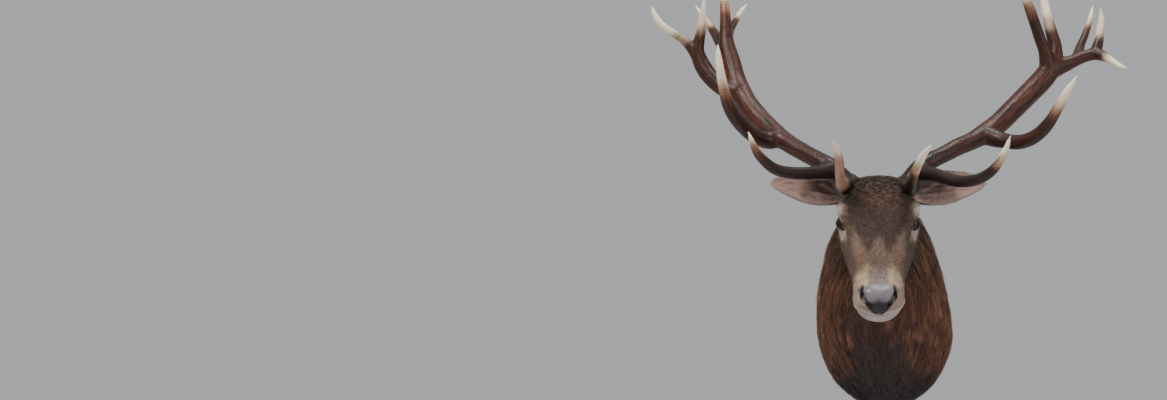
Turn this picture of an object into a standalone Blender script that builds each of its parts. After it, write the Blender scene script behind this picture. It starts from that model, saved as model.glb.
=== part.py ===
"""Wall-hung shoulder mount of a red deer stag: head, neck, antlers and the board that it hangs by.

Metres, +Z up. The wall is the plane y = 0, the stag looks along -Y, and the origin is the centre of the
board's back face. Left and right are the stag's own, so its left is +X.
"""

import math

import bmesh
import bpy
from mathutils import Matrix, Vector

GAP = 0.0003

# The head's own axes start at the poll: along the face to the nose, and up out of the forehead.
HEAD_PITCH = math.radians(42)
POLL = Vector((-0.013, -0.345, 0.347))
ALONG_FACE = Vector((0, -math.cos(HEAD_PITCH), -math.sin(HEAD_PITCH)))
OUT_OF_FACE = Vector((0, -math.sin(HEAD_PITCH), math.cos(HEAD_PITCH)))

# Head sections: distance from the poll, top, bottom, half width, height of the widest point, and how
# square the upper and the lower half are (2 is an ellipse).
HEAD_SECTIONS = [
    (-0.066, -0.166, -0.176, 0.012, -0.171, 2.0, 2.0),
    (-0.055, -0.146, -0.182, 0.034, -0.160, 2.0, 2.0),
    (-0.030, -0.101, -0.188, 0.054, -0.128, 2.1, 2.1),
    (0.000, -0.052, -0.192, 0.064, -0.100, 2.2, 2.1),
    (0.035, -0.019, -0.200, 0.069, -0.088, 2.3, 2.1),
    (0.070, 0.006, -0.203, 0.071, -0.080, 2.4, 2.1),
    (0.105, 0.018, -0.200, 0.075, -0.066, 2.5, 1.9),
    (0.150, 0.014, -0.186, 0.082, -0.050, 2.4, 1.8),
    (0.190, 0.002, -0.166, 0.074, -0.054, 2.3, 1.8),
    (0.230, -0.006, -0.146, 0.0655, -0.060, 2.3, 1.9),
    (0.270, -0.011, -0.130, 0.0590, -0.062, 2.3, 2.0),
    (0.310, -0.013, -0.117, 0.0515, -0.061, 2.3, 2.1),
    (0.345, -0.014, -0.109, 0.0480, -0.058, 2.4, 2.2),
    (0.375, -0.015, -0.104, 0.0478, -0.054, 2.6, 2.3),
    (0.393, -0.018, -0.096, 0.0440, -0.052, 2.6, 2.3),
    (0.405, -0.026, -0.084, 0.0310, -0.052, 2.3, 2.2),
    (0.412, -0.043, -0.062, 0.0100, -0.052, 2.0, 2.0),
]
HEAD_SIDES = 32
HEAD_RING_STEP = 0.0165

# Soft swellings and hollows on both sides of the head: distance from the poll, height, side, size
# along, size around, and how far out (negative is a hollow).
HEAD_FEATURES = {
    "brow_ridge": (0.138, -0.020, 0.080, 0.028, 0.019, 0.0135),
    "orbit_front": (0.186, -0.040, 0.066, 0.016, 0.016, 0.0030),
    "cheekbone": (0.160, -0.084, 0.074, 0.050, 0.014, 0.0035),
    "temple": (0.098, -0.030, 0.073, 0.022, 0.022, -0.0045),
    "jaw_muscle": (0.100, -0.135, 0.060, 0.040, 0.030, 0.0035),
    "face_hollow": (0.262, -0.070, 0.050, 0.034, 0.024, -0.0030),
    "jaw_gap": (0.290, -0.112, 0.030, 0.034, 0.022, -0.0035),
    "nostril_wing": (0.383, -0.036, 0.036, 0.018, 0.013, 0.0035),
    "upper_lip": (0.375, -0.066, 0.044, 0.026, 0.010, 0.0020),
    "chin": (0.385, -0.100, 0.012, 0.022, 0.020, 0.0025),
    "pedicle": (0.066, -0.004, 0.058, 0.022, 0.022, 0.0085),
}
EYE_PLACE = (0.069, 0.157, -0.047)
EYE_RADIUS = 0.0175
EYE_FACETS = (14, 8)
SOCKET_RIM = 0.0245
SOCKET_DEPTH = 0.0055
NOSTRIL_PLACE = (0.0270, 0.3960, -0.0330)
NOSTRIL_SIZE = (0.0055, 0.0150, 0.0095)

# The nose pad's half outline seen from the front, as (half width, height).
NOSE_PAD_FROM = 0.382
NOSE_PAD_HALF = [(0.0, -0.010), (0.020, -0.014), (0.031, -0.028), (0.029, -0.045), (0.012, -0.0585), (0.0, -0.0600)]

# The lower jaw seen from the side, as (distance from the poll, height): lip, mouth corner, jaw joint.
LOWER_JAW_OUTLINE = [
    (0.430, -0.0640), (0.385, -0.0660), (0.340, -0.0740), (0.296, -0.0850), (0.200, -0.1080),
    (0.120, -0.1280), (0.078, -0.1500), (0.072, -0.2300), (0.430, -0.2300),
]

# Neck sections: y, top, bottom, half width, height of the widest point, squareness above and below.
NECK_SECTIONS = [
    (-0.0203, 0.146, -0.158, 0.130, -0.012, 2.2, 1.9),
    (-0.0300, 0.158, -0.169, 0.141, -0.012, 2.2, 1.8),
    (-0.0550, 0.174, -0.176, 0.149, -0.010, 2.2, 1.8),
    (-0.1000, 0.202, -0.170, 0.150, -0.005, 2.2, 1.9),
    (-0.1500, 0.236, -0.148, 0.146, 0.015, 2.2, 2.0),
    (-0.2000, 0.266, -0.113, 0.137, 0.045, 2.2, 2.1),
    (-0.2500, 0.288, -0.070, 0.124, 0.075, 2.2, 2.2),
    (-0.3000, 0.301, -0.022, 0.104, 0.100, 2.1, 2.2),
    (-0.3350, 0.298, 0.022, 0.082, 0.120, 2.0, 2.1),
    (-0.3620, 0.275, 0.066, 0.052, 0.140, 2.0, 2.0),
    (-0.3760, 0.220, 0.115, 0.018, 0.160, 2.0, 2.0),
]
NECK_SIDES = 30
NECK_RING_STEP = 0.028

# Planes that part the flesh: a point in the middle plane, and the way that is forwards.
HEAD_NECK_CUT = (Vector((0, -0.322, 0.200)), Vector((0, -0.975, 0.222)))
NECK_BASE_CUT = (Vector((0, -0.150, 0.000)), Vector((0, -0.940, 0.342)))

BOARD_THICKNESS = 0.020
BOARD_HALF_WIDTH = 0.118
BOARD_TOP = 0.128
BOARD_BOTTOM = -0.142
BOARD_EDGE_ROUND = 0.0015
BOARD_SIDES = 36

# The right ear's axis from its root to its tip. The left ear mirrors it.
EAR_ROOT = Vector((-0.055, 0.018, -0.058))
EAR_TIP = Vector((-0.244, -0.262, 0.306))
EAR_HALF_WIDTH = 0.037
EAR_THICKNESS = 0.0040
EAR_ALONG, EAR_ACROSS = 10, 6

# Antler tubes as (x, y, z, radius) from root to tip. A tube is cut where it meets those named before
# it in the same antler. The two antlers are not alike.
ANTLER_RIGHT = {
    "burr": [(-0.070, -0.388, 0.268, 0.0190), (-0.079, -0.402, 0.292, 0.0245), (-0.084, -0.407, 0.300, 0.0225)],
    "beam": [
        (-0.083, -0.4045, 0.2975, 0.0185), (-0.109, -0.410, 0.324, 0.0152), (-0.135, -0.396, 0.341, 0.0132),
        (-0.163, -0.376, 0.358, 0.0132), (-0.195, -0.352, 0.379, 0.0150), (-0.224, -0.327, 0.402, 0.0175),
        (-0.254, -0.302, 0.432, 0.0182), (-0.278, -0.283, 0.460, 0.0185),
        (-0.295, -0.268, 0.485, 0.0186), (-0.315, -0.250, 0.529, 0.0178), (-0.328, -0.238, 0.574, 0.0166),
        (-0.337, -0.232, 0.607, 0.0138), (-0.340, -0.228, 0.641, 0.0102), (-0.342, -0.226, 0.680, 0.0082),
        (-0.347, -0.230, 0.728, 0.0045), (-0.350, -0.232, 0.750, 0.0012),
    ],
    "brow": [
        (-0.082, -0.414, 0.292, 0.0110), (-0.085, -0.448, 0.288, 0.0105), (-0.088, -0.500, 0.298, 0.0084),
        (-0.088, -0.560, 0.319, 0.0076), (-0.091, -0.600, 0.338, 0.0052), (-0.098, -0.620, 0.351, 0.0012),
    ],
    "bez": [
        (-0.100, -0.408, 0.322, 0.0125), (-0.124, -0.438, 0.313, 0.0125), (-0.154, -0.475, 0.306, 0.0114),
        (-0.186, -0.502, 0.304, 0.0108), (-0.213, -0.525, 0.309, 0.0098), (-0.235, -0.547, 0.325, 0.0082),
        (-0.248, -0.563, 0.342, 0.0062), (-0.261, -0.580, 0.375, 0.0012),
    ],
    "trez": [
        (-0.216, -0.334, 0.396, 0.0135), (-0.243, -0.345, 0.388, 0.0142), (-0.270, -0.375, 0.397, 0.0145),
        (-0.293, -0.405, 0.417, 0.0140), (-0.308, -0.430, 0.438, 0.0126), (-0.316, -0.450, 0.460, 0.0108),
        (-0.323, -0.468, 0.493, 0.0080), (-0.328, -0.480, 0.530, 0.0055), (-0.330, -0.485, 0.560, 0.0014),
    ],
    "crown_outer": [
        (-0.306, -0.262, 0.500, 0.0150), (-0.344, -0.250, 0.514, 0.0165), (-0.371, -0.245, 0.537, 0.0165),
        (-0.389, -0.242, 0.564, 0.0162), (-0.398, -0.244, 0.592, 0.0120), (-0.394, -0.250, 0.615, 0.0105),
        (-0.389, -0.260, 0.634, 0.0085), (-0.385, -0.270, 0.660, 0.0065), (-0.379, -0.285, 0.702, 0.0012),
    ],
    "crown_side": [
        (-0.393, -0.243, 0.576, 0.0100), (-0.414, -0.245, 0.603, 0.0088), (-0.435, -0.250, 0.620, 0.0074),
        (-0.456, -0.255, 0.633, 0.0068), (-0.475, -0.260, 0.647, 0.0064), (-0.487, -0.265, 0.665, 0.0050),
        (-0.493, -0.270, 0.685, 0.0012),
    ],
    "crown_back": [
        (-0.333, -0.234, 0.588, 0.0120), (-0.352, -0.205, 0.615, 0.0108), (-0.372, -0.178, 0.648, 0.0080),
        (-0.396, -0.152, 0.683, 0.0050), (-0.418, -0.130, 0.716, 0.0012),
    ],
    "crown_inner": [
        (-0.338, -0.230, 0.622, 0.0070), (-0.330, -0.202, 0.652, 0.0064), (-0.323, -0.176, 0.673, 0.0056),
        (-0.315, -0.150, 0.697, 0.0042), (-0.303, -0.130, 0.719, 0.0012),
    ],
}
ANTLER_LEFT = {
    "burr": [(0.040, -0.388, 0.266, 0.0190), (0.047, -0.402, 0.289, 0.0240), (0.051, -0.408, 0.297, 0.0220)],
    "beam": [
        (0.050, -0.4055, 0.2945, 0.0180), (0.068, -0.409, 0.320, 0.0152), (0.090, -0.400, 0.338, 0.0130),
        (0.118, -0.385, 0.353, 0.0122), (0.148, -0.366, 0.371, 0.0138), (0.178, -0.345, 0.386, 0.0152),
        (0.207, -0.325, 0.405, 0.0178), (0.238, -0.304, 0.429, 0.0185), (0.268, -0.284, 0.460, 0.0190),
        (0.306, -0.262, 0.499, 0.0194), (0.336, -0.248, 0.531, 0.0200), (0.358, -0.240, 0.563, 0.0175),
        (0.365, -0.236, 0.600, 0.0120), (0.358, -0.229, 0.634, 0.0104), (0.351, -0.220, 0.668, 0.0088),
        (0.344, -0.213, 0.715, 0.0055), (0.340, -0.209, 0.745, 0.0012),
    ],
    "brow": [
        (0.046, -0.404, 0.297, 0.0110), (0.047, -0.440, 0.281, 0.0108), (0.052, -0.480, 0.286, 0.0090),
        (0.057, -0.525, 0.301, 0.0076), (0.063, -0.558, 0.314, 0.0068), (0.072, -0.590, 0.329, 0.0054),
        (0.088, -0.620, 0.346, 0.0012),
    ],
    "bez": [
        (0.062, -0.408, 0.317, 0.0120), (0.085, -0.432, 0.311, 0.0122), (0.108, -0.462, 0.302, 0.0116),
        (0.131, -0.488, 0.291, 0.0112), (0.154, -0.513, 0.286, 0.0104), (0.178, -0.535, 0.288, 0.0098),
        (0.200, -0.555, 0.299, 0.0086), (0.217, -0.571, 0.318, 0.0068), (0.228, -0.582, 0.340, 0.0045),
        (0.237, -0.590, 0.366, 0.0012),
    ],
    "trez": [
        (0.206, -0.330, 0.402, 0.0135), (0.236, -0.346, 0.389, 0.0140), (0.266, -0.374, 0.380, 0.0138),
        (0.290, -0.400, 0.382, 0.0130), (0.311, -0.421, 0.394, 0.0122), (0.328, -0.440, 0.413, 0.0108),
        (0.344, -0.455, 0.440, 0.0088), (0.359, -0.466, 0.468, 0.0062), (0.380, -0.475, 0.500, 0.0014),
    ],
    "crown_inner": [
        (0.350, -0.246, 0.546, 0.0130), (0.342, -0.255, 0.585, 0.0120), (0.330, -0.265, 0.612, 0.0110),
        (0.320, -0.275, 0.638, 0.0106), (0.306, -0.290, 0.672, 0.0096), (0.288, -0.303, 0.712, 0.0060),
        (0.270, -0.312, 0.742, 0.0014),
    ],
    "crown_outer": [
        (0.352, -0.240, 0.553, 0.0150), (0.390, -0.240, 0.566, 0.0130), (0.423, -0.239, 0.580, 0.0112),
        (0.448, -0.236, 0.590, 0.0108), (0.458, -0.235, 0.614, 0.0092), (0.462, -0.237, 0.639, 0.0078),
        (0.464, -0.240, 0.660, 0.0056), (0.461, -0.245, 0.684, 0.0012),
    ],
    "crown_back": [
        (0.412, -0.238, 0.576, 0.0088), (0.422, -0.208, 0.608, 0.0078), (0.438, -0.182, 0.643, 0.0064),
        (0.450, -0.165, 0.676, 0.0048), (0.459, -0.150, 0.711, 0.0012),
    ],
    "crown_side": [
        (0.446, -0.237, 0.589, 0.0085), (0.468, -0.250, 0.579, 0.0078), (0.482, -0.265, 0.566, 0.0060),
        (0.494, -0.280, 0.554, 0.0044), (0.508, -0.300, 0.545, 0.0012),
    ],
}
BEAM_STEP, TINE_STEP = 0.030, 0.028
BEAM_CUTS = {
    "right": (Vector((-0.230, -0.322, 0.408)), Vector((-0.58, 0.49, 0.65))),
    "left": (Vector((0.213, -0.321, 0.410)), Vector((0.64, 0.46, 0.62))),
}
BEAM_ROUNDNESS, TINE_ROUNDNESS = 3, 2

COLOURS = {
    "hide": (0.13, 0.055, 0.030, 0.85, 0.0),
    "face": (0.16, 0.105, 0.075, 0.85, 0.0),
    "muzzle": (0.30, 0.23, 0.18, 0.80, 0.0),
    "ear": (0.33, 0.20, 0.16, 0.80, 0.0),
    "nose": (0.030, 0.028, 0.032, 0.35, 0.0),
    "eye": (0.012, 0.007, 0.005, 0.08, 0.0),
    "antler": (0.085, 0.040, 0.022, 0.40, 0.0),
    "tine": (0.28, 0.16, 0.09, 0.40, 0.0),
    "board": (0.38, 0.24, 0.13, 0.70, 0.0),
}


def clear_scene():
    for old in list(bpy.data.objects):
        bpy.data.objects.remove(old, do_unlink=True)


def new_collection(name):
    made = bpy.data.collections.new(name)
    bpy.context.scene.collection.children.link(made)
    return made


def new_material(name, red, green, blue, roughness, metallic):
    made = bpy.data.materials.new(name)
    made.use_nodes = True
    shader = made.node_tree.nodes["Principled BSDF"]
    shader.inputs["Base Color"].default_value = (red, green, blue, 1)
    shader.inputs["Roughness"].default_value = roughness
    shader.inputs["Metallic"].default_value = metallic
    return made


def new_object(name, mesh, collection, material=None):
    made = bpy.data.objects.new(name, mesh)
    collection.objects.link(made)
    if material:
        made.data.materials.clear()
        made.data.materials.append(material)
    return made


def in_head(side, along, height):
    """The point of the head that is this far to a side, along the face and out of it."""
    return POLL + Vector((side, 0, 0)) + ALONG_FACE * along + OUT_OF_FACE * height


def section_at(table, place):
    """A row of the section table between its own rows, on a curve that never swings past them."""
    way = 1 if table[-1][0] > table[0][0] else -1
    keys = [row[0] for row in table]
    below = max(i for i in range(len(keys) - 1) if i == 0 or way * keys[i] <= way * place)
    span = keys[below + 1] - keys[below]
    t = (place - keys[below]) / span
    found = []
    for column in range(1, len(table[0])):
        values = [row[column] for row in table]
        slopes = [(values[i + 1] - values[i]) / (keys[i + 1] - keys[i]) for i in range(len(keys) - 1)]

        def tangent(i):
            if i == 0 or i == len(keys) - 1:
                return slopes[0 if i == 0 else -1]
            before, after = slopes[i - 1], slopes[i]
            return 0.0 if before * after <= 0 else 2 * before * after / (before + after)

        a, b = values[below], values[below + 1]
        m0, m1 = tangent(below) * span, tangent(below + 1) * span
        found.append(
            (2 * t**3 - 3 * t**2 + 1) * a + (t**3 - 2 * t**2 + t) * m0
            + (3 * t**2 - 2 * t**3) * b + (t**3 - t**2) * m1
        )
    return found


def oval(row, sides):
    """(side, height) round a section. Its two halves have their own height and squareness."""
    top, bottom, half_width, widest, square_above, square_below = row
    points = []
    for i in range(sides):
        angle = 2 * math.pi * i / sides
        across, up = math.cos(angle), math.sin(angle)
        square = square_above if up >= 0 else square_below
        reach = (top - widest) if up >= 0 else (widest - bottom)
        points.append((
            half_width * math.copysign(abs(across) ** (2 / square), across),
            widest + reach * math.copysign(abs(up) ** (2 / square), up),
        ))
    return points


def places_between(first, last, step):
    count = max(2, round(abs(last - first) / step) + 1)
    return [first + (last - first) * i / (count - 1) for i in range(count)]


def loft(name, rings, collection, material=None):
    """A closed skin over rings of points, with a flat face at each end."""
    shape = bmesh.new()
    rows = [[shape.verts.new(point) for point in ring] for ring in rings]
    sides = len(rows[0])
    for near, far in zip(rows, rows[1:]):
        for i in range(sides):
            shape.faces.new((near[i], near[(i + 1) % sides], far[(i + 1) % sides], far[i]))
    shape.faces.new(rows[0])
    shape.faces.new(rows[-1])
    bmesh.ops.recalc_face_normals(shape, faces=shape.faces)
    bent = [face for face in shape.faces if len(face.verts) == 4]
    bmesh.ops.triangulate(shape, faces=bent, quad_method="SHORT_EDGE")
    mesh = bpy.data.meshes.new(name)
    shape.to_mesh(mesh)
    shape.free()
    mesh.shade_smooth()
    return new_object(name, mesh, collection, material)


def prism(name, outline, place, low, high, collection):
    """An outline pushed from low to high, where place(a, b, depth) gives the point."""
    return loft(name, [[place(a, b, depth) for a, b in outline] for depth in (low, high)], collection)


def evaluated_copy(source, name, collection, material=None):
    """The object as its modifiers and curve settings make it, as a plain welded mesh."""
    bpy.context.view_layer.update()
    graph = bpy.context.evaluated_depsgraph_get()
    mesh = bpy.data.meshes.new_from_object(source.evaluated_get(graph), depsgraph=graph)
    mesh.transform(source.matrix_world)
    shape = bmesh.new()
    shape.from_mesh(mesh)
    bmesh.ops.remove_doubles(shape, verts=shape.verts, dist=1e-6)
    shape.to_mesh(mesh)
    shape.free()
    return new_object(name, mesh, collection, material)


def swell(piece, amount):
    """Moves each face of the piece out by about this much."""
    shape = bmesh.new()
    shape.from_mesh(piece.data)
    shape.normal_update()
    moves = [(v, v.normal * amount * v.calc_shell_factor()) for v in shape.verts]
    for vertex, move in moves:
        vertex.co += move
    shape.to_mesh(piece.data)
    shape.free()


def hide(helper):
    helper.hide_render = True
    helper.display_type = "WIRE"


def combine(piece, other, operation):
    step = piece.modifiers.new(operation.title() + "_" + other.name, "BOOLEAN")
    step.operation = operation
    step.object = other
    step.solver = "EXACT"


def settle(piece):
    """Applies the piece's modifiers, so that a later piece can be cut by its final shape."""
    bpy.context.view_layer.update()
    graph = bpy.context.evaluated_depsgraph_get()
    mesh = bpy.data.meshes.new_from_object(piece.evaluated_get(graph), depsgraph=graph)
    piece.modifiers.clear()
    piece.data = mesh


def half_space(name, cut, forwards, shift, collection):
    """A big block on one side of a parting plane, moved off it by shift."""
    point, normal = cut
    size = 1.2
    way = normal.normalized() * (1 if forwards else -1)
    bpy.ops.mesh.primitive_cube_add(size=size, location=point + way * (size / 2 + shift))
    block = bpy.context.active_object
    block.rotation_euler = way.to_track_quat("Y", "Z").to_euler()
    block.name = name
    bpy.context.view_layer.update()
    block.data.transform(block.matrix_world)
    block.matrix_world = Matrix.Identity(4)
    for owner in list(block.users_collection):
        owner.objects.unlink(block)
    collection.objects.link(block)
    hide(block)
    return block


def ball(name, centre, radii, collection, material=None, segments=16, rings=10, turn=None):
    shape = bmesh.new()
    bmesh.ops.create_uvsphere(shape, u_segments=segments, v_segments=rings, radius=1)
    mesh = bpy.data.meshes.new(name)
    shape.to_mesh(mesh)
    shape.free()
    mesh.transform(Matrix.Diagonal((*radii, 1)))
    if turn:
        mesh.transform(turn.to_4x4())
    mesh.transform(Matrix.Translation(centre))
    mesh.shade_smooth()
    return new_object(name, mesh, collection, material)


def feature_push(side, along, height):
    """How far out the head's features move a point of its plain loft."""
    push = 0.0
    for place, level, reach, size_along, size_around, amount in HEAD_FEATURES.values():
        near = ((along - place) / size_along) ** 2
        near += ((height - level) ** 2 + (abs(side) - reach) ** 2) / size_around**2
        push += amount * math.exp(-near)
    eye_side, eye_along, eye_height = EYE_PLACE
    out = math.dist((abs(side), along, height), (eye_side + 0.010, eye_along, eye_height))
    return push - SOCKET_DEPTH * math.exp(-((out / SOCKET_RIM) ** 4))


def head_rings():
    """The head's sections, closer together at the muzzle, with its features pushed in and out."""
    first, last = HEAD_SECTIONS[0][0], HEAD_SECTIONS[-1][0]
    tip_zone = 0.36
    places = places_between(first, tip_zone, HEAD_RING_STEP)[:-1] + places_between(tip_zone, last, 0.0090)
    rings = []
    for along in places:
        row = section_at(HEAD_SECTIONS, along)
        middle = row[3]
        ring = []
        for side, height in oval(row, HEAD_SIDES):
            away = Vector((side, 0, height - middle))
            push = feature_push(side, along, height)
            moved = away + away.normalized() * push
            ring.append(in_head(moved.x, along, middle + moved.z))
        rings.append(ring)
    return rings


def neck_rings():
    """The neck's upright sections, whose middle drifts sideways to meet the head."""
    rings = []
    for y in places_between(NECK_SECTIONS[0][0], NECK_SECTIONS[-1][0], NECK_RING_STEP):
        drift = POLL.x * min(1, abs(y) / abs(POLL.y))
        row = section_at(NECK_SECTIONS, y)
        rings.append([Vector((drift + side, y, z)) for side, z in oval(row, NECK_SIDES)])
    return rings


def make_flesh(parts, helpers, looks):
    """The head and neck as one closed form, parted into named pieces by thin cuts."""
    whole = loft("flesh_whole", head_rings(), helpers)
    neck_form = loft("neck_form", neck_rings(), helpers)
    hide(neck_form)
    combine(whole, neck_form, "UNION")
    settle(whole)
    hide(whole)

    sockets = []
    for side in (-1, 1):
        eye_side, along, height = EYE_PLACE
        centre = in_head(side * eye_side, along, height)
        reach = EYE_RADIUS + GAP
        sockets.append(ball(f"socket_{side}", centre, (reach,) * 3, helpers, None, *EYE_FACETS))
        nostril_side, along, height = NOSTRIL_PLACE
        lean = Matrix.Rotation(-HEAD_PITCH, 3, "X") @ Matrix.Rotation(side * math.radians(24), 3, "Z")
        centre = in_head(side * nostril_side, along, height)
        hollow = ball(f"nostril_{side}", centre, NOSTRIL_SIZE, helpers, segments=10, rings=8, turn=lean)
        sockets.append(hollow)
    for cutter in sockets:
        hide(cutter)
        combine(whole, cutter, "DIFFERENCE")
    settle(whole)

    def side_view(along, height, depth):
        return in_head(depth, along, height)

    def front_view(side, height, depth):
        return in_head(side, depth, height)

    jaw_block = prism("jaw_block", LOWER_JAW_OUTLINE, side_view, -0.12, 0.12, helpers)
    pad_outline = NOSE_PAD_HALF + [(-x, z) for x, z in reversed(NOSE_PAD_HALF[1:-1])]
    pad_block = prism("pad_block", pad_outline, front_view, NOSE_PAD_FROM, 0.45, helpers)
    wider = {}
    for block in (jaw_block, pad_block):
        hide(block)
        wider[block.name] = evaluated_copy(block, block.name + "_wider", helpers)
        swell(wider[block.name], GAP)
        hide(wider[block.name])

    head_side = half_space("head_side", HEAD_NECK_CUT, True, GAP / 2, helpers)
    neck_side = half_space("neck_side", HEAD_NECK_CUT, False, GAP / 2, helpers)
    upper_side = half_space("upper_side", NECK_BASE_CUT, True, GAP / 2, helpers)
    base_side = half_space("base_side", NECK_BASE_CUT, False, GAP / 2, helpers)

    def piece(name, look, keep, take=()):
        made = evaluated_copy(whole, name, parts, looks[look])
        for block in keep:
            combine(made, block, "INTERSECT")
        for block in take:
            combine(made, block, "DIFFERENCE")
        settle(made)
        made.data.shade_smooth()
        return made

    head = piece("head", "face", [head_side], [wider["jaw_block"], wider["pad_block"]])
    piece("lower_jaw", "muzzle", [head_side, jaw_block])
    piece("nose_pad", "nose", [pad_block])
    piece("neck", "hide", [neck_side, upper_side])
    piece("neck_base", "hide", [neck_side, base_side])
    for side, name in ((-1, "eye_right"), (1, "eye_left")):
        eye_side, along, height = EYE_PLACE
        centre = in_head(side * eye_side, along, height)
        ball(name, centre, (EYE_RADIUS,) * 3, parts, looks["eye"], *EYE_FACETS)
    skull_cutter = evaluated_copy(whole, "flesh_wider", helpers)
    swell(skull_cutter, GAP)
    hide(skull_cutter)
    return head, skull_cutter


def ear_surface(root, tip, side):
    """The cupped leaf of an ear, open side forwards, as rows of points from its root to its tip."""
    axis = (tip - root).normalized()
    face = Vector((0.34 * side, -0.90, -0.22))
    face = (face - axis * face.dot(axis)).normalized()
    across = axis.cross(face) * side
    length = (tip - root).length
    rows = []
    for i in range(EAR_ALONG + 1):
        t = i / EAR_ALONG
        width = EAR_HALF_WIDTH * (math.sin(math.pi * min(1, t * 0.92 + 0.10) ** 0.85) ** 0.62)
        width = max(width, 0.0035)
        curl = math.radians(128 - 78 * min(1, t * 1.5))
        droop = 0.012 * math.sin(math.pi * t)
        radius = width / math.sin(min(curl, math.pi / 2))
        middle = root + axis * length * t - face * droop
        row = []
        for j in range(EAR_ACROSS + 1):
            angle = curl * (2 * j / EAR_ACROSS - 1)
            row.append(middle + across * radius * math.sin(angle) + face * radius * (1 - math.cos(angle)))
        rows.append(row)
    return rows


def make_ear(name, side, skull_cutter, parts, helpers, material):
    root = in_head(side * abs(EAR_ROOT.x), EAR_ROOT.y, EAR_ROOT.z)
    tip = Vector((POLL.x + side * abs(EAR_TIP.x - POLL.x), EAR_TIP.y, EAR_TIP.z))
    shape = bmesh.new()
    rows = [[shape.verts.new(point) for point in row] for row in ear_surface(root, tip, side)]
    for near, far in zip(rows, rows[1:]):
        for j in range(EAR_ACROSS):
            shape.faces.new((near[j], near[j + 1], far[j + 1], far[j]))
    mesh = bpy.data.meshes.new(name)
    shape.to_mesh(mesh)
    shape.free()
    ear = new_object(name, mesh, parts, material)
    shell = ear.modifiers.new("Thickness", "SOLIDIFY")
    shell.thickness = EAR_THICKNESS
    shell.offset = 0
    shell.use_even_offset = True
    settle(ear)
    combine(ear, skull_cutter, "DIFFERENCE")
    settle(ear)
    keep_largest(ear)
    ear.data.shade_smooth()
    return ear


def keep_largest(piece):
    """Drops the loose scraps that a cut leaves, such as an ear's root inside the skull."""
    shape = bmesh.new()
    shape.from_mesh(piece.data)
    todo, islands = set(shape.verts), []
    while todo:
        stack, island = [todo.pop()], set()
        while stack:
            vertex = stack.pop()
            island.add(vertex)
            for edge in vertex.link_edges:
                other = edge.other_vert(vertex)
                if other in todo:
                    todo.discard(other)
                    stack.append(other)
        islands.append(island)
    biggest = max(islands, key=len)
    bmesh.ops.delete(shape, geom=[v for v in shape.verts if v not in biggest], context="VERTS")
    shape.to_mesh(piece.data)
    shape.free()


def smooth_path(points, step):
    """Points along a Catmull-Rom curve through the given ones, radius included, about step apart."""
    rows = [Vector(p) for p in points]
    rows = [rows[0] * 2 - rows[1], *rows, rows[-1] * 2 - rows[-2]]
    path = []
    for before, start, end, after in zip(rows, rows[1:], rows[2:], rows[3:]):
        count = max(1, round((end.xyz - start.xyz).length / step))
        for i in range(count):
            t = i / count
            path.append(0.5 * (
                2 * start + (end - before) * t + (2 * before - 5 * start + 4 * end - after) * t**2
                + (3 * start - before - 3 * end + after) * t**3
            ))
    path.append(rows[-2])
    return path


def tube(name, path, roundness, collection, material=None, fatter=0.0):
    """A tapering tube along (x, y, z, radius) points, as a welded mesh."""
    data = bpy.data.curves.new(name + "_line", "CURVE")
    data.dimensions = "3D"
    data.bevel_depth = 1.0
    data.bevel_resolution = roundness
    data.use_fill_caps = True
    spline = data.splines.new("POLY")
    spline.points.add(len(path) - 1)
    for knot, point in zip(spline.points, path):
        knot.co = (*point.xyz, 1)
        knot.radius = point.w + fatter
    line = bpy.data.objects.new(name + "_line", data)
    collection.objects.link(line)
    made = evaluated_copy(line, name, collection, material)
    bpy.data.objects.remove(line, do_unlink=True)
    made.data.shade_smooth()
    return made


def make_antler(side_name, tubes, skull_cutter, parts, helpers, looks):
    """One antler, each tube trimmed so that it sits on the ones that it grows from."""
    cutters = []
    for name, points in tubes.items():
        beam = name in ("beam", "burr")
        path = smooth_path(points, BEAM_STEP if beam else TINE_STEP)
        roundness = BEAM_ROUNDNESS if beam else TINE_ROUNDNESS
        look = looks["antler" if beam else "tine"]
        node = f"antler_{side_name}_{name}"
        piece = tube(node, path, roundness, parts, look)
        for cutter in cutters:
            combine(piece, cutter, "DIFFERENCE")
        if name == "burr":
            combine(piece, skull_cutter, "DIFFERENCE")
        settle(piece)
        keep_largest(piece)
        if name == "beam":
            part_beam(node, piece, BEAM_CUTS[side_name], parts, helpers, look)
        cutter = tube(node + "_wider", path, roundness, helpers, None, GAP)
        hide(cutter)
        cutters.append(cutter)


def part_beam(node, beam, cut, parts, helpers, material):
    """Parts the beam into a lower and an upper node where its third tine leaves it."""
    for name, forwards in (("lower", False), ("upper", True)):
        block = half_space(f"{node}_{name}_side", cut, forwards, GAP / 2, helpers)
        made = evaluated_copy(beam, f"{node}_{name}", parts, material)
        combine(made, block, "INTERSECT")
        settle(made)
        made.data.shade_smooth()
    bpy.data.objects.remove(beam, do_unlink=True)


def make_board(parts, material):
    """The flat board inside the neck's back edge."""
    outline = []
    for i in range(BOARD_SIDES):
        angle = 2 * math.pi * i / BOARD_SIDES
        across, up = math.cos(angle), math.sin(angle)
        reach = BOARD_TOP if up >= 0 else -BOARD_BOTTOM
        outline.append((BOARD_HALF_WIDTH * across, reach * up))

    def upright(x, z, depth):
        return Vector((x, -depth, z))

    board = prism("backboard", outline, upright, 0.0, BOARD_THICKNESS, parts)
    board.data.materials.append(material)
    for polygon in board.data.polygons:
        polygon.use_smooth = False
    edge = board.modifiers.new("Edge", "BEVEL")
    edge.width = BOARD_EDGE_ROUND
    edge.segments = 1
    edge.limit_method = "ANGLE"
    edge.angle_limit = math.radians(50)


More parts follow.
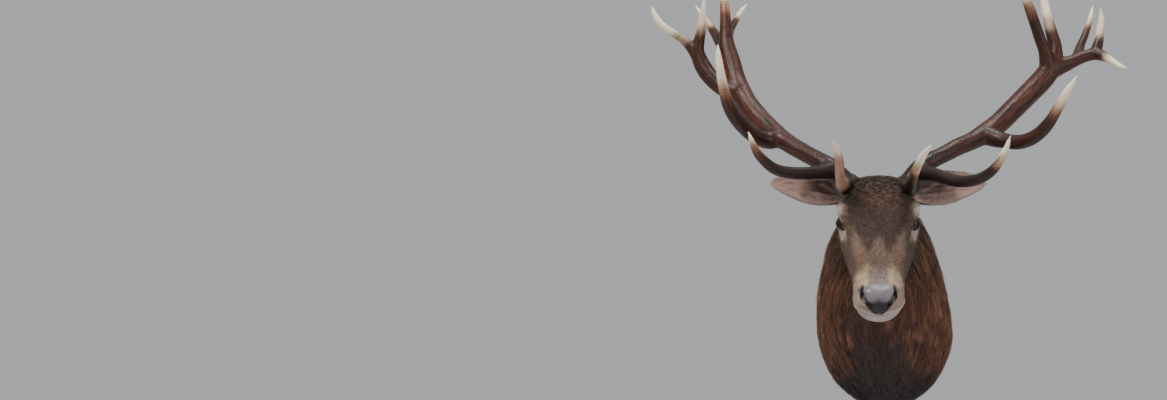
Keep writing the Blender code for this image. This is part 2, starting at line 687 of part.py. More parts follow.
def main():
    clear_scene()
    parts = new_collection("red_deer_stag_head_mount")
    helpers = new_collection("cutters")
    looks = {name: new_material(name, *values) for name, values in COLOURS.items()}
    head, skull_cutter = make_flesh(parts, helpers, looks)
    make_antler("right", ANTLER_RIGHT, skull_cutter, parts, helpers, looks)
    make_antler("left", ANTLER_LEFT, skull_cutter, parts, helpers, looks)
    make_ear("ear_right", -1, skull_cutter, parts, helpers, looks["ear"])
    make_ear("ear_left", 1, skull_cutter, parts, helpers, looks["ear"])
    make_board(parts, looks["board"])


main()
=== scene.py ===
import math

import bmesh
import bpy
import numpy as np
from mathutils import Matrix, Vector
from mathutils.bvhtree import BVHTree
from mathutils.kdtree import KDTree

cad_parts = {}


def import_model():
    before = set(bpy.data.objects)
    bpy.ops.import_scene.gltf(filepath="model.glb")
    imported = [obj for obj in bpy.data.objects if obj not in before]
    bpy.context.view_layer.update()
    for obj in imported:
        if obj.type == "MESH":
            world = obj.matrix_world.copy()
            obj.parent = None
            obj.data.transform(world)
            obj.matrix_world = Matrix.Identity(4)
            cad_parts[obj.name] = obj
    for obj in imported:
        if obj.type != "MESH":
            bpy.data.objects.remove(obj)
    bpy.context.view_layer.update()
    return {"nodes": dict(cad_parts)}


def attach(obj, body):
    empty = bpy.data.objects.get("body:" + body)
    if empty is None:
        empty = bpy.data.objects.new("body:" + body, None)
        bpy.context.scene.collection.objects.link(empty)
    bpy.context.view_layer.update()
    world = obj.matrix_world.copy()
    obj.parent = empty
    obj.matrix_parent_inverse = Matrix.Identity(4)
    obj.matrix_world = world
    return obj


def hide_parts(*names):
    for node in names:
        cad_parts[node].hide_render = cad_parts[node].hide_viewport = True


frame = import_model()

# The head's own axes, as the CAD has them: from the poll along the face, and up out of the forehead.
PITCH = math.radians(42)
POLL = np.array((-0.013, -0.345, 0.347))
FACE = np.array((0.0, -math.cos(PITCH), -math.sin(PITCH)))
UP = np.array((0.0, -math.sin(PITCH), math.cos(PITCH)))
SIDE = np.array((1.0, 0.0, 0.0))
# Middle of the glass eye as side, along and height, and its radius.
EYE = (0.0658, 0.157, -0.046)
EYE_R = 0.0172
# The way the left eye looks.
EYE_FACING = (0.77, -0.62, 0.11)

# The right ear's root as side, along and height, and its tip in the frame. The left ear mirrors it.
EAR_ROOT = (0.055, 0.018, -0.058)
EAR_TIP = (-0.244, -0.262, 0.306)

# The antlers' centre lines, as the CAD has them: x, y, z and radius from the root to the tip.
RIGHT = {
    "beam": [
        (-0.079, -0.402, 0.292, 0.0195), (-0.084, -0.4050, 0.2985, 0.0185), (-0.109, -0.410, 0.324, 0.0152),
        (-0.135, -0.396, 0.341, 0.0132), (-0.163, -0.376, 0.358, 0.0132), (-0.195, -0.352, 0.379, 0.0150),
        (-0.224, -0.327, 0.402, 0.0175), (-0.254, -0.302, 0.432, 0.0182), (-0.278, -0.283, 0.460, 0.0185),
        (-0.295, -0.268, 0.485, 0.0186), (-0.315, -0.250, 0.529, 0.0178), (-0.328, -0.238, 0.574, 0.0166),
        (-0.337, -0.232, 0.607, 0.0138), (-0.340, -0.228, 0.641, 0.0102), (-0.342, -0.226, 0.680, 0.0082),
        (-0.347, -0.230, 0.728, 0.0045), (-0.350, -0.232, 0.750, 0.0012),
    ],
    "brow": [
        (-0.082, -0.414, 0.292, 0.0110), (-0.085, -0.448, 0.288, 0.0105), (-0.088, -0.500, 0.298, 0.0084),
        (-0.088, -0.560, 0.319, 0.0076), (-0.091, -0.600, 0.338, 0.0052), (-0.098, -0.620, 0.351, 0.0012),
    ],
    "bez": [
        (-0.100, -0.408, 0.322, 0.0125), (-0.124, -0.438, 0.313, 0.0125), (-0.154, -0.475, 0.306, 0.0114),
        (-0.186, -0.502, 0.304, 0.0108), (-0.213, -0.525, 0.309, 0.0098), (-0.235, -0.547, 0.325, 0.0082),
        (-0.248, -0.563, 0.342, 0.0062), (-0.261, -0.580, 0.375, 0.0012),
    ],
    "trez": [
        (-0.216, -0.334, 0.396, 0.0135), (-0.243, -0.345, 0.388, 0.0142), (-0.270, -0.375, 0.397, 0.0145),
        (-0.293, -0.405, 0.417, 0.0140), (-0.308, -0.430, 0.438, 0.0126), (-0.316, -0.450, 0.460, 0.0108),
        (-0.323, -0.468, 0.493, 0.0080), (-0.328, -0.480, 0.530, 0.0055), (-0.330, -0.485, 0.560, 0.0014),
    ],
    "crown_outer": [
        (-0.306, -0.262, 0.500, 0.0150), (-0.344, -0.250, 0.514, 0.0165), (-0.371, -0.245, 0.537, 0.0165),
        (-0.389, -0.242, 0.564, 0.0162), (-0.398, -0.244, 0.592, 0.0120), (-0.394, -0.250, 0.615, 0.0105),
        (-0.389, -0.260, 0.634, 0.0085), (-0.385, -0.270, 0.660, 0.0065), (-0.379, -0.285, 0.702, 0.0012),
    ],
    "crown_side": [
        (-0.393, -0.243, 0.576, 0.0100), (-0.414, -0.245, 0.603, 0.0088), (-0.435, -0.250, 0.620, 0.0074),
        (-0.456, -0.255, 0.633, 0.0068), (-0.475, -0.260, 0.647, 0.0064), (-0.487, -0.265, 0.665, 0.0050),
        (-0.493, -0.270, 0.685, 0.0012),
    ],
    "crown_back": [
        (-0.333, -0.234, 0.588, 0.0120), (-0.352, -0.205, 0.615, 0.0108), (-0.372, -0.178, 0.648, 0.0080),
        (-0.396, -0.152, 0.683, 0.0050), (-0.418, -0.130, 0.716, 0.0012),
    ],
    "crown_inner": [
        (-0.338, -0.230, 0.622, 0.0070), (-0.330, -0.202, 0.652, 0.0064), (-0.323, -0.176, 0.673, 0.0056),
        (-0.315, -0.150, 0.697, 0.0042), (-0.303, -0.130, 0.719, 0.0012),
    ],
}
LEFT = {
    "beam": [
        (0.047, -0.402, 0.289, 0.0190), (0.051, -0.4060, 0.2955, 0.0180), (0.068, -0.409, 0.320, 0.0152),
        (0.090, -0.400, 0.338, 0.0130), (0.118, -0.385, 0.353, 0.0122), (0.148, -0.366, 0.371, 0.0138),
        (0.178, -0.345, 0.386, 0.0152), (0.207, -0.325, 0.405, 0.0178), (0.238, -0.304, 0.429, 0.0185),
        (0.268, -0.284, 0.460, 0.0190), (0.306, -0.262, 0.499, 0.0194), (0.336, -0.248, 0.531, 0.0200),
        (0.358, -0.240, 0.563, 0.0175), (0.365, -0.236, 0.600, 0.0120), (0.358, -0.229, 0.634, 0.0104),
        (0.351, -0.220, 0.668, 0.0088), (0.344, -0.213, 0.715, 0.0055), (0.340, -0.209, 0.745, 0.0012),
    ],
    "brow": [
        (0.046, -0.404, 0.297, 0.0110), (0.047, -0.440, 0.281, 0.0108), (0.052, -0.480, 0.286, 0.0090),
        (0.057, -0.525, 0.301, 0.0076), (0.063, -0.558, 0.314, 0.0068), (0.072, -0.590, 0.329, 0.0054),
        (0.088, -0.620, 0.346, 0.0012),
    ],
    "bez": [
        (0.062, -0.408, 0.317, 0.0120), (0.085, -0.432, 0.311, 0.0122), (0.108, -0.462, 0.302, 0.0116),
        (0.131, -0.488, 0.291, 0.0112), (0.154, -0.513, 0.286, 0.0104), (0.178, -0.535, 0.288, 0.0098),
        (0.200, -0.555, 0.299, 0.0086), (0.217, -0.571, 0.318, 0.0068), (0.228, -0.582, 0.340, 0.0045),
        (0.237, -0.590, 0.366, 0.0012),
    ],
    "trez": [
        (0.206, -0.330, 0.402, 0.0135), (0.236, -0.346, 0.389, 0.0140), (0.266, -0.374, 0.380, 0.0138),
        (0.290, -0.400, 0.382, 0.0130), (0.311, -0.421, 0.394, 0.0122), (0.328, -0.440, 0.413, 0.0108),
        (0.344, -0.455, 0.440, 0.0088), (0.359, -0.466, 0.468, 0.0062), (0.380, -0.475, 0.500, 0.0014),
    ],
    "crown_inner": [
        (0.350, -0.246, 0.546, 0.0130), (0.342, -0.255, 0.585, 0.0120), (0.330, -0.265, 0.612, 0.0110),
        (0.320, -0.275, 0.638, 0.0106), (0.306, -0.290, 0.672, 0.0096), (0.288, -0.303, 0.712, 0.0060),
        (0.270, -0.312, 0.742, 0.0014),
    ],
    "crown_outer": [
        (0.352, -0.240, 0.553, 0.0150), (0.390, -0.240, 0.566, 0.0130), (0.423, -0.239, 0.580, 0.0112),
        (0.448, -0.236, 0.590, 0.0108), (0.458, -0.235, 0.614, 0.0092), (0.462, -0.237, 0.639, 0.0078),
        (0.464, -0.240, 0.660, 0.0056), (0.461, -0.245, 0.684, 0.0012),
    ],
    "crown_back": [
        (0.412, -0.238, 0.576, 0.0088), (0.422, -0.208, 0.608, 0.0078), (0.438, -0.182, 0.643, 0.0064),
        (0.450, -0.165, 0.676, 0.0048), (0.459, -0.150, 0.711, 0.0012),
    ],
    "crown_side": [
        (0.446, -0.237, 0.589, 0.0085), (0.468, -0.250, 0.579, 0.0078), (0.482, -0.265, 0.566, 0.0060),
        (0.494, -0.280, 0.554, 0.0044), (0.508, -0.300, 0.545, 0.0012),
    ],
}
# Middle and direction of each burr.
BURRS = {
    "right": ((-0.079, -0.402, 0.292), (-0.45, -0.35, 0.82)),
    "left": ((0.047, -0.402, 0.289), (0.36, -0.36, 0.86)),
}
# How each antler's tines are tipped: length of ivory, length of the ochre below it, in metres.
TIPS = {
    "right": {"beam": (0.045, 0.060), "brow": (0.030, 0.230), "bez": (0.022, 0.045), "trez": (0.070, 0.075),
              "crown_outer": (0.060, 0.050), "crown_side": (0.085, 0.045), "crown_back": (0.060, 0.050),
              "crown_inner": (0.055, 0.045)},
    "left": {"beam": (0.085, 0.040), "brow": (0.075, 0.090), "bez": (0.045, 0.035), "trez": (0.060, 0.060),
             "crown_inner": (0.055, 0.060), "crown_outer": (0.055, 0.030), "crown_back": (0.045, 0.050),
             "crown_side": (0.055, 0.030)},
}


# ---------------------------------------------------------------- small tools

def world(side, along, height):
    """Points of the head from its own coordinates."""
    side, along, height = (np.asarray(a, float)[..., None] for a in (side, along, height))
    return POLL + side * SIDE + along * FACE + height * UP


def head_frame(points):
    """Side, distance from the poll along the face, and height out of the face."""
    away = points - POLL
    return away[:, 0], away @ FACE, away @ UP


def unit(vectors):
    """The vectors made one long."""
    return vectors / np.maximum(np.linalg.norm(vectors, axis=-1, keepdims=True), 1e-12)


def ramp(values, low, high):
    """0 below low, 1 above high, smooth between them."""
    t = np.clip((values - low) / (high - low), 0, 1)
    return t * t * (3 - 2 * t)


def waves(points, size, seed, count=14):
    """A smooth random field from -1 to 1 whose features are about size across."""
    rng = np.random.default_rng(seed)
    ways = unit(rng.normal(size=(count, points.shape[1])))
    ways = ways * rng.uniform(0.7, 1.6, (count, 1)) * (2 * math.pi / size)
    phases = rng.uniform(0, 2 * math.pi, count)
    total = np.zeros(len(points))
    for way, phase in zip(ways, phases):
        total += np.sin(points @ way + phase)
    return total / math.sqrt(count) * 0.75


def mix(a, b, t):
    """From a at 0 to b at 1."""
    t = np.asarray(t)[..., None]
    return a * (1 - t) + b * t


def srgb(red, green, blue):
    """A colour as the renderer counts it, from 0 to 255 as a screen shows it."""
    c = np.array((red, green, blue)) / 255
    return np.where(c <= 0.04045, c / 12.92, ((c + 0.055) / 1.055) ** 2.4)


def mesh_object(name, points, faces, smooth=True):
    """faces is a list of arrays, each n by corners."""
    mesh = bpy.data.meshes.new(name)
    starts, corners, offset = [], [], 0
    for block in faces:
        block = np.asarray(block, np.int32)
        if not len(block):
            continue
        starts.append(offset + np.arange(len(block), dtype=np.int32) * block.shape[1])
        corners.append(block.ravel())
        offset += block.size
    starts, corners = np.concatenate(starts), np.concatenate(corners)
    mesh.vertices.add(len(points))
    mesh.vertices.foreach_set("co", np.asarray(points, np.float32).ravel())
    mesh.loops.add(len(corners))
    mesh.loops.foreach_set("vertex_index", corners)
    mesh.polygons.add(len(starts))
    mesh.polygons.foreach_set("loop_start", starts)
    mesh.update(calc_edges=True)
    if smooth:
        mesh.shade_smooth()
    made = bpy.data.objects.new(name, mesh)
    bpy.context.scene.collection.objects.link(made)
    return made


def coordinates(mesh):
    """A mesh's points."""
    out = np.empty(len(mesh.vertices) * 3, np.float32)
    mesh.vertices.foreach_get("co", out)
    return out.reshape(-1, 3).astype(float)


def set_coordinates(mesh, points):
    """Moves a mesh's points."""
    mesh.vertices.foreach_set("co", np.asarray(points, np.float32).ravel())
    mesh.update()


def normals(mesh):
    """The way out of a mesh at each of its points."""
    out = np.empty(len(mesh.vertices) * 3, np.float32)
    mesh.vertex_normals.foreach_get("vector", out)
    return out.reshape(-1, 3).astype(float)


def edge_pairs(mesh):
    """The two points of each edge."""
    out = np.empty(len(mesh.edges) * 2, np.int32)
    mesh.edges.foreach_get("vertices", out)
    return out.reshape(-1, 2)


def relax(mesh, rounds, strength=0.5, weight=None):
    """Pulls each point towards the middle of its neighbours."""
    points, pairs = coordinates(mesh), edge_pairs(mesh)
    degree = np.bincount(pairs.ravel(), minlength=len(points)).astype(float)[:, None]
    share = strength if weight is None else strength * weight[:, None]
    for _ in range(rounds):
        total = np.zeros_like(points)
        for axis in range(3):
            total[:, axis] = np.bincount(pairs[:, 0], points[pairs[:, 1], axis], len(points))
            total[:, axis] += np.bincount(pairs[:, 1], points[pairs[:, 0], axis], len(points))
        points += (total / np.maximum(degree, 1) - points) * share
    set_coordinates(mesh, points)


def spread(mesh, values, rounds):
    """Evens out numbers held by a mesh's points over their neighbours."""
    pairs = edge_pairs(mesh)
    degree = np.maximum(np.bincount(pairs.ravel(), minlength=len(values)), 1)
    for _ in range(rounds):
        total = np.bincount(pairs[:, 0], values[pairs[:, 1]], len(values))
        total += np.bincount(pairs[:, 1], values[pairs[:, 0]], len(values))
        values = 0.3 * values + 0.7 * total / degree
    return values


def put(mesh, name, values, kind="FLOAT"):
    """Stores one value for each point: a number, a vector or a colour."""
    attribute = mesh.attributes.get(name) or mesh.attributes.new(name, kind, "POINT")
    values = np.asarray(values, np.float32)
    if kind == "FLOAT_COLOR":
        values = np.concatenate([values, np.ones((len(values), 1), np.float32)], 1)
        attribute.data.foreach_set("color", values.ravel())
    elif kind == "FLOAT_VECTOR":
        attribute.data.foreach_set("vector", values.ravel())
    else:
        attribute.data.foreach_set("value", values.ravel())


def remeshed(made, voxel):
    """Gives an object one closed skin round all its parts."""
    step = made.modifiers.new("Remesh", "REMESH")
    step.mode = "VOXEL"
    step.voxel_size = voxel
    step.use_smooth_shade = True
    bpy.context.view_layer.update()
    graph = bpy.context.evaluated_depsgraph_get()
    mesh = bpy.data.meshes.new_from_object(made.evaluated_get(graph), depsgraph=graph)
    made.modifiers.clear()
    made.data = mesh
    return made


def joined(name, parts):
    """One object from several, which are used up."""
    with bpy.context.temp_override(active_object=parts[0], object=parts[0], selected_editable_objects=parts,
                                   selected_objects=parts):
        bpy.ops.object.join()
    parts[0].name = name
    parts[0].data.name = name
    return parts[0]


def point_tree(points):
    """A lookup of the nearest of some points."""
    tree = KDTree(len(points))
    for i, point in enumerate(points):
        tree.insert(point, i)
    tree.balance()
    return tree


def surface_tree(mesh):
    """A lookup of the nearest place on a mesh."""
    shape = bmesh.new()
    shape.from_mesh(mesh)
    tree = BVHTree.FromBMesh(shape)
    shape.free()
    return tree


# ---------------------------------------------------------------- materials

class Nodes:
    """Short forms for building a material's node tree."""

    def __init__(self, name):
        self.material = bpy.data.materials.new(name)
        self.material.use_nodes = True
        self.tree = self.material.node_tree
        self.shader = self.tree.nodes["Principled BSDF"]

    def add(self, kind, **values):
        """A new node with its settings."""
        node = self.tree.nodes.new(kind)
        for key, value in values.items():
            setattr(node, key, value)
        return node

    def link(self, source, target):
        self.tree.links.new(source, target)

    def read(self, name, output="Fac"):
        """A value stored at the mesh's points."""
        return self.add("ShaderNodeAttribute", attribute_name=name).outputs[output]

    def value(self, socket, item):
        """Gives a socket a number, a colour or another node's output."""
        if isinstance(item, (int, float)):
            socket.default_value = item
        elif isinstance(item, (tuple, list, np.ndarray)):
            opaque = (1,) if len(socket.default_value) == 4 and len(item) == 3 else ()
            socket.default_value = tuple(item) + opaque
        else:
            self.link(item, socket)

    def math(self, operation, a, b=0.0, clamp=False):
        node = self.add("ShaderNodeMath", operation=operation, use_clamp=clamp)
        self.value(node.inputs[0], a)
        self.value(node.inputs[1], b)
        return node.outputs[0]

    def noise(self, vector, scale, detail=3.0, roughness=0.55):
        node = self.add("ShaderNodeTexNoise")
        self.link(vector, node.inputs["Vector"])
        node.inputs["Scale"].default_value = scale
        node.inputs["Detail"].default_value = detail
        node.inputs["Roughness"].default_value = roughness
        return node.outputs["Fac"]

    def span(self, item, low, high, new_low=0.0, new_high=1.0):
        """Values from low to high, as values from new_low to new_high."""
        node = self.add("ShaderNodeMapRange")
        self.value(node.inputs["Value"], item)
        for key, number in (("From Min", low), ("From Max", high), ("To Min", new_low), ("To Max", new_high)):
            node.inputs[key].default_value = number
        return node.outputs["Result"]

    def mix(self, fac, a, b, blend="MIX"):
        node = self.add("ShaderNodeMix", data_type="RGBA", blend_type=blend)
        self.value(node.inputs[0], fac)
        self.value(node.inputs[6], a)
        self.value(node.inputs[7], b)
        return node.outputs[2]

    def bump(self, height, strength, distance):
        node = self.add("ShaderNodeBump")
        self.link(height, node.inputs["Height"])
        node.inputs["Strength"].default_value = strength
        node.inputs["Distance"].default_value = distance
        return node.outputs["Normal"]

    def set(self, **values):
        """Settings of the material's shader."""
        for key, item in values.items():
            self.value(self.shader.inputs[key.replace("_", " ")], item)


def stretched(nodes, source, scale):
    """The places in source, scaled differently along each axis."""
    node = nodes.add("ShaderNodeMapping")
    nodes.link(source, node.inputs["Vector"])
    node.inputs["Scale"].default_value = scale
    return node.outputs["Vector"]


def hide_material():
    """Skin: the coat's colour with short streaky hair, and bare leathery nose, lips, lids and ear."""
    n = Nodes("hide_skin")
    lie = n.read("Lie", "Vector")
    tint = n.read("Tint", "Color")
    bare = n.read("Bare")
    wet = n.read("Wet")
    streak = n.noise(stretched(n, lie, (900, 900, 110)), 1.0, 4.0, 0.6)
    blotch = n.noise(lie, 60.0, 3.0)
    pebble = n.add("ShaderNodeTexVoronoi")
    n.link(lie, pebble.inputs["Vector"])
    pebble.inputs["Scale"].default_value = 520.0
    shade = n.math("MULTIPLY", n.span(streak, 0.25, 0.75, 0.72, 1.30), n.span(blotch, 0.3, 0.7, 0.90, 1.10))
    n.set(Base_Color=n.mix(n.math("SUBTRACT", 1.0, bare), tint, scale_colour(n, tint, shade)))
    rough = n.span(bare, 0, 1, 0.80, 0.50)
    n.set(Roughness=n.math("MULTIPLY", rough, n.span(wet, 0, 1, 1.0, 0.50)))
    n.set(Specular_IOR_Level=0.35)
    hair = n.bump(streak, 0.55, 0.0006)
    wrinkle = n.noise(lie, 330.0, 3.0)
    pebbles = n.math("MULTIPLY", pebble.outputs["Distance"], n.math("MULTIPLY", wet, 0.9))
    grain = n.math("ADD", pebbles, n.math("MULTIPLY", wrinkle, 0.35))
    leather = n.bump(grain, 0.35, 0.0006)
    n.set(Normal=n.mix(bare, hair, leather))
    return n.material


def scale_colour(n, colour, factor):
    """A colour made lighter or darker."""
    node = n.add("ShaderNodeVectorMath", operation="SCALE")
    n.link(colour, node.inputs[0])
    n.value(node.inputs["Scale"], factor)
    return node.outputs["Vector"]


def coat_material(name, roughness, fine):
    """Hair: streaked along its length, each tuft a little different; the darker roots and lighter tips held
    in Tint are painted shade and painted highlight.
    """
    n = Nodes(name)
    lie = n.read("Lie", "Vector")
    tint = n.read("Tint", "Color")
    streak = n.noise(stretched(n, lie, (fine, fine, fine * 0.03)), 1.0, 3.0, 0.6)
    shade = n.span(streak, 0.28, 0.72, 0.78, 1.26)
    n.set(Base_Color=scale_colour(n, tint, shade))
    n.set(Roughness=roughness, Specular_IOR_Level=0.38)
    n.set(Normal=n.bump(streak, 0.5, 0.0006))
    return n.material


def antler_material():
    """Bone: streaked and dark in the grooves, smoother and paler where it is ivory."""
    n = Nodes("antler_bone")
    lie = n.read("Lie", "Vector")
    tint = n.read("Tint", "Color")
    ivory = n.read("Ivory")
    streak = n.noise(stretched(n, lie, (420, 420, 22)), 1.0, 5.0, 0.62)
    fine = n.noise(stretched(n, lie, (1500, 1500, 90)), 1.0, 3.0, 0.6)
    patch = n.noise(lie, 38.0, 3.0)
    dark = n.span(streak, 0.30, 0.70, 0.52, 1.55)
    pale = n.span(streak, 0.30, 0.70, 0.93, 1.05)
    blend = n.add("ShaderNodeMix", data_type="FLOAT")
    n.link(ivory, blend.inputs[0])
    n.link(dark, blend.inputs[2])
    n.link(pale, blend.inputs[3])
    shade = n.math("MULTIPLY", blend.outputs[0], n.span(patch, 0.3, 0.7, 0.86, 1.14))
    n.set(Base_Color=scale_colour(n, tint, shade))
    n.set(Roughness=n.math("ADD", n.span(fine, 0.3, 0.7, 0.34, 0.50), n.math("MULTIPLY", ivory, 0.06)))
    n.set(Specular_IOR_Level=0.30, Coat_Weight=0.06, Coat_Roughness=0.25)
    soft = n.math("SUBTRACT", 1.0, n.math("MULTIPLY", ivory, 0.85))
    height = n.math("MULTIPLY", n.math("ADD", streak, n.math("MULTIPLY", fine, 0.35)), soft)
    n.set(Normal=n.bump(height, 0.25, 0.0006))
    return n.material


def eye_material():
    """Painted glass: a wide dark pupil in a dark brown iris, under a clear glossy front."""
    n = Nodes("eye_glass")
    spot = n.read("Spot", "Vector")
    parts = n.add("ShaderNodeSeparateXYZ")
    n.link(spot, parts.inputs[0])
    across, upward = parts.outputs["X"], parts.outputs["Y"]

    def power(socket, exponent):
        return n.math("POWER", n.math("ABSOLUTE", socket), exponent)

    wide, high = n.math("MULTIPLY", across, 1 / 0.44), n.math("MULTIPLY", upward, 1 / 0.22)
    pupil = n.math("ADD", power(wide, 3.0), power(high, 3.0))
    ring = n.math("SQRT", n.math("ADD", power(across, 2.0), power(upward, 2.0)))
    fibres = n.noise(spot, 14.0, 4.0)
    iris = n.mix(fibres, (0.016, 0.007, 0.0035), (0.050, 0.021, 0.009))
    iris = n.mix(n.span(ring, 0.60, 0.74), iris, (0.006, 0.004, 0.004))
    iris = n.mix(n.span(ring, 0.86, 0.95), iris, (0.10, 0.07, 0.055))
    n.set(Base_Color=n.mix(n.span(pupil, 0.8, 1.2), (0.0015, 0.0015, 0.002), iris))
    n.set(Roughness=0.14, Specular_IOR_Level=0.15, Coat_Weight=0.3, Coat_Roughness=0.03)
    return n.material


def board_material():
    """Brown wood with upright grain."""
    n = Nodes("board_wood")
    place = n.add("ShaderNodeTexCoord").outputs["Object"]
    grain = n.noise(stretched(n, place, (26, 26, 1.6)), 1.0, 6.0, 0.6)
    pores = n.noise(stretched(n, place, (900, 900, 40)), 1.0, 2.0)
    colour = n.mix(n.span(grain, 0.34, 0.66), (0.22, 0.125, 0.060), (0.44, 0.29, 0.16))
    colour = n.mix(n.span(pores, 0.56, 0.75, 0.0, 0.5), colour, (0.12, 0.065, 0.03))
    n.set(Base_Color=colour, Roughness=0.62, Specular_IOR_Level=0.3)
    n.set(Normal=n.bump(n.math("ADD", grain, n.math("MULTIPLY", pores, -0.4)), 0.3, 0.0008))
    return n.material


def whisker_material():
    """Nearly black hair."""
    n = Nodes("whisker_hair")
    lie = n.read("Lie", "Vector")
    streak = n.noise(stretched(n, lie, (300, 300, 30)), 1.0, 2.0)
    n.set(Base_Color=n.mix(streak, (0.010, 0.007, 0.006), (0.035, 0.025, 0.020)), Roughness=0.4)
    return n.material


# ---------------------------------------------------------------- colours of the hide

DARK_BROW = srgb(66, 49, 43)
WHORL = srgb(112, 80, 60)
FACE_BROWN = srgb(108, 88, 75)
FACE_SIDE_SHADE = srgb(94, 74, 61)
RUSTY = srgb(134, 98, 68)
PALE = srgb(214, 198, 182)
KHAKI = srgb(160, 140, 116)
CREAM = srgb(176, 152, 126)
BRIDGE = srgb(124, 108, 100)
MUZZLE = srgb(152, 132, 118)
LIP = srgb(172, 153, 150)
CHESTNUT = srgb(114, 75, 57)
NECK_DARK = srgb(64, 41, 36)
BRISKET_SHADE = srgb(50, 36, 37)
NAPE = srgb(98, 72, 56)
EAR_BACK = srgb(104, 86, 74)
NOSE_BLACK = srgb(34, 31, 34)
NOSE_SHEEN_GREY = srgb(122, 117, 120)
LID = srgb(36, 27, 24)
BROW_SIDE = srgb(136, 116, 102)
EAR_BACK_TIP = srgb(78, 62, 54)
EAR_PINK = srgb(200, 160, 150)
EAR_HOLLOW_SHADE = srgb(50, 31, 27)
EAR_RIM = srgb(186, 162, 148)
LOCK_HIGHLIGHT = srgb(138, 98, 70)
RIM_HAIR = srgb(178, 158, 146)
RIM_HAIR_TIP = srgb(112, 92, 82)
INNER_HAIR = srgb(196, 168, 156)
WHISKER_DARK = srgb(40, 32, 30)


def bell(values, width, power=2):
    """1 where values are 0, fading to 0 some widths away."""
    return np.exp(-((values / width) ** power))


def spot(side, along, height, at, size, power=2.0):
    """1 at a spot of the head and 0 away from it, the same on both sides."""
    across = ((np.abs(side) - at[0]) / size[0]) ** 2
    reach = across + ((along - at[1]) / size[1]) ** 2 + ((height - at[2]) / size[2]) ** 2
    return np.exp(-(reach ** (power / 2)))


# Marks round the eye: colour, place and size as side, along and height, hardness, strength.
EYE_MARKS = (
    (KHAKI, (0.071, 0.108, -0.012), (0.010, 0.022, 0.016), 3, 0.90),
    (PALE, (0.078, 0.146, -0.022), (0.0165, 0.022, 0.020), 4, 0.97),
    (PALE * 0.84, (0.070, 0.181, -0.050), (0.014, 0.019, 0.014), 4, 0.94),
    (PALE * 0.62, (0.065, 0.207, -0.042), (0.007, 0.010, 0.007), 2, 0.6),
)
# How far out the dark brow reaches, and the paler wedge inside it, by distance along the face.
BROW_EDGE = ((0.150, 0.182, 0.222, 0.255, 0.285, 0.298), (0.060, 0.062, 0.044, 0.031, 0.022, 0.012))
BROW_WEDGE = ((0.235, 0.250, 0.275), (-0.008, 0.007, 0.014))


def neck_colours(points, reach, soft):
    """Chestnut at the sides, dark down the throat, darker under the brisket by painted shade, paler on the
    nape.
    """
    z = points[:, 2]
    throat = ramp(0.075 - reach + 0.018 * soft, -0.03, 0.05) * ramp(-z, -0.16, 0.02)
    neck = mix(CHESTNUT, NECK_DARK, throat)
    # Painted shade: the underside of the neck darkens towards the bottom.
    neck = mix(neck, BRISKET_SHADE, ramp(-z + 0.02 * soft, 0.0, 0.085))
    neck = mix(neck, NAPE, ramp(z, 0.12, 0.24) * ramp(reach, 0.02, 0.07))
    return mix(neck, NECK_DARK * 0.85, ramp(z, 0.14, 0.24) * ramp(-reach, -0.045, -0.01))


def brow_mask(reach, along, fine):
    """The dark brow: it comes down the face as two arms, with the wedge between them."""
    edge = np.interp(along, *BROW_EDGE) + 0.004 * fine
    wedge = np.interp(along, *BROW_WEDGE) + 0.002 * fine
    arms = ramp(edge - reach, -0.005, 0.007) * ramp(-along - 0.006 * fine, -0.298, -0.274)
    return arms * ramp(reach - wedge, -0.006, 0.006)


def face_colours(side, along, height, neck, fine):
    """Brown down the face with painted shade on its sides, pale round the eye, then rusty and cream towards
    the muzzle.
    """
    reach, mouth = np.abs(side), mouth_line(along)

    def mark(at, size, power=2.0):
        return spot(side, along, height, at, size, power)

    face = np.repeat(FACE_BROWN[None], len(side), 0)
    # Painted shade: the face darkens towards its sides.
    face = mix(face, FACE_SIDE_SHADE, ramp(reach, 0.035, 0.056) * ramp(-along, -0.34, -0.28))
    face = mix(face, BROW_SIDE, mark((0.044, 0.246, -0.025), (0.010, 0.036, 0.02), 3) * 0.55)
    face = mix(face, DARK_BROW, brow_mask(reach, along, fine) * 0.96)
    face = mix(face, WHORL, mark((0, 0.140, 0.012), (0.036, 0.036, 0.03)) * (0.55 + 0.35 * fine).clip(0, 0.9))
    for colour, at, size, power, strength in EYE_MARKS:
        face = mix(face, colour, mark(at, size, power) * strength)
    # The cheeks run into the neck's colour behind the jaw.
    face = mix(face, neck, ramp(0.095 - along, -0.02, 0.04) * ramp(-height, 0.055, 0.10))
    face = mix(face, RUSTY, mark((0.036, 0.288, -0.023), (0.011, 0.024, 0.02)) * 0.55)
    face = mix(face, BRIDGE, ramp(along, 0.318, 0.345) * ramp(-reach, -0.022, -0.012))
    cream = ramp(along + 0.004 * fine, 0.308, 0.346) * ramp(reach + 0.002 * fine, 0.012, 0.024)
    face = mix(face, CREAM, cream * ramp(height, -0.062, -0.030) * 0.95)
    muzzle = ramp(along - 0.5 * (height + 0.03), 0.330, 0.372) * ramp(reach, 0.028, 0.040)
    face = mix(face, MUZZLE, muzzle * 0.8)
    # Pale lips and chin.
    face = mix(face, LIP, ramp(mouth + 0.016 - height, 0, 0.008) * ramp(along, 0.325, 0.365))
    return mix(face, CREAM * 0.75, ramp(mouth - 0.022 - height, 0, 0.010) * ramp(along, 0.24, 0.30) * 0.5)


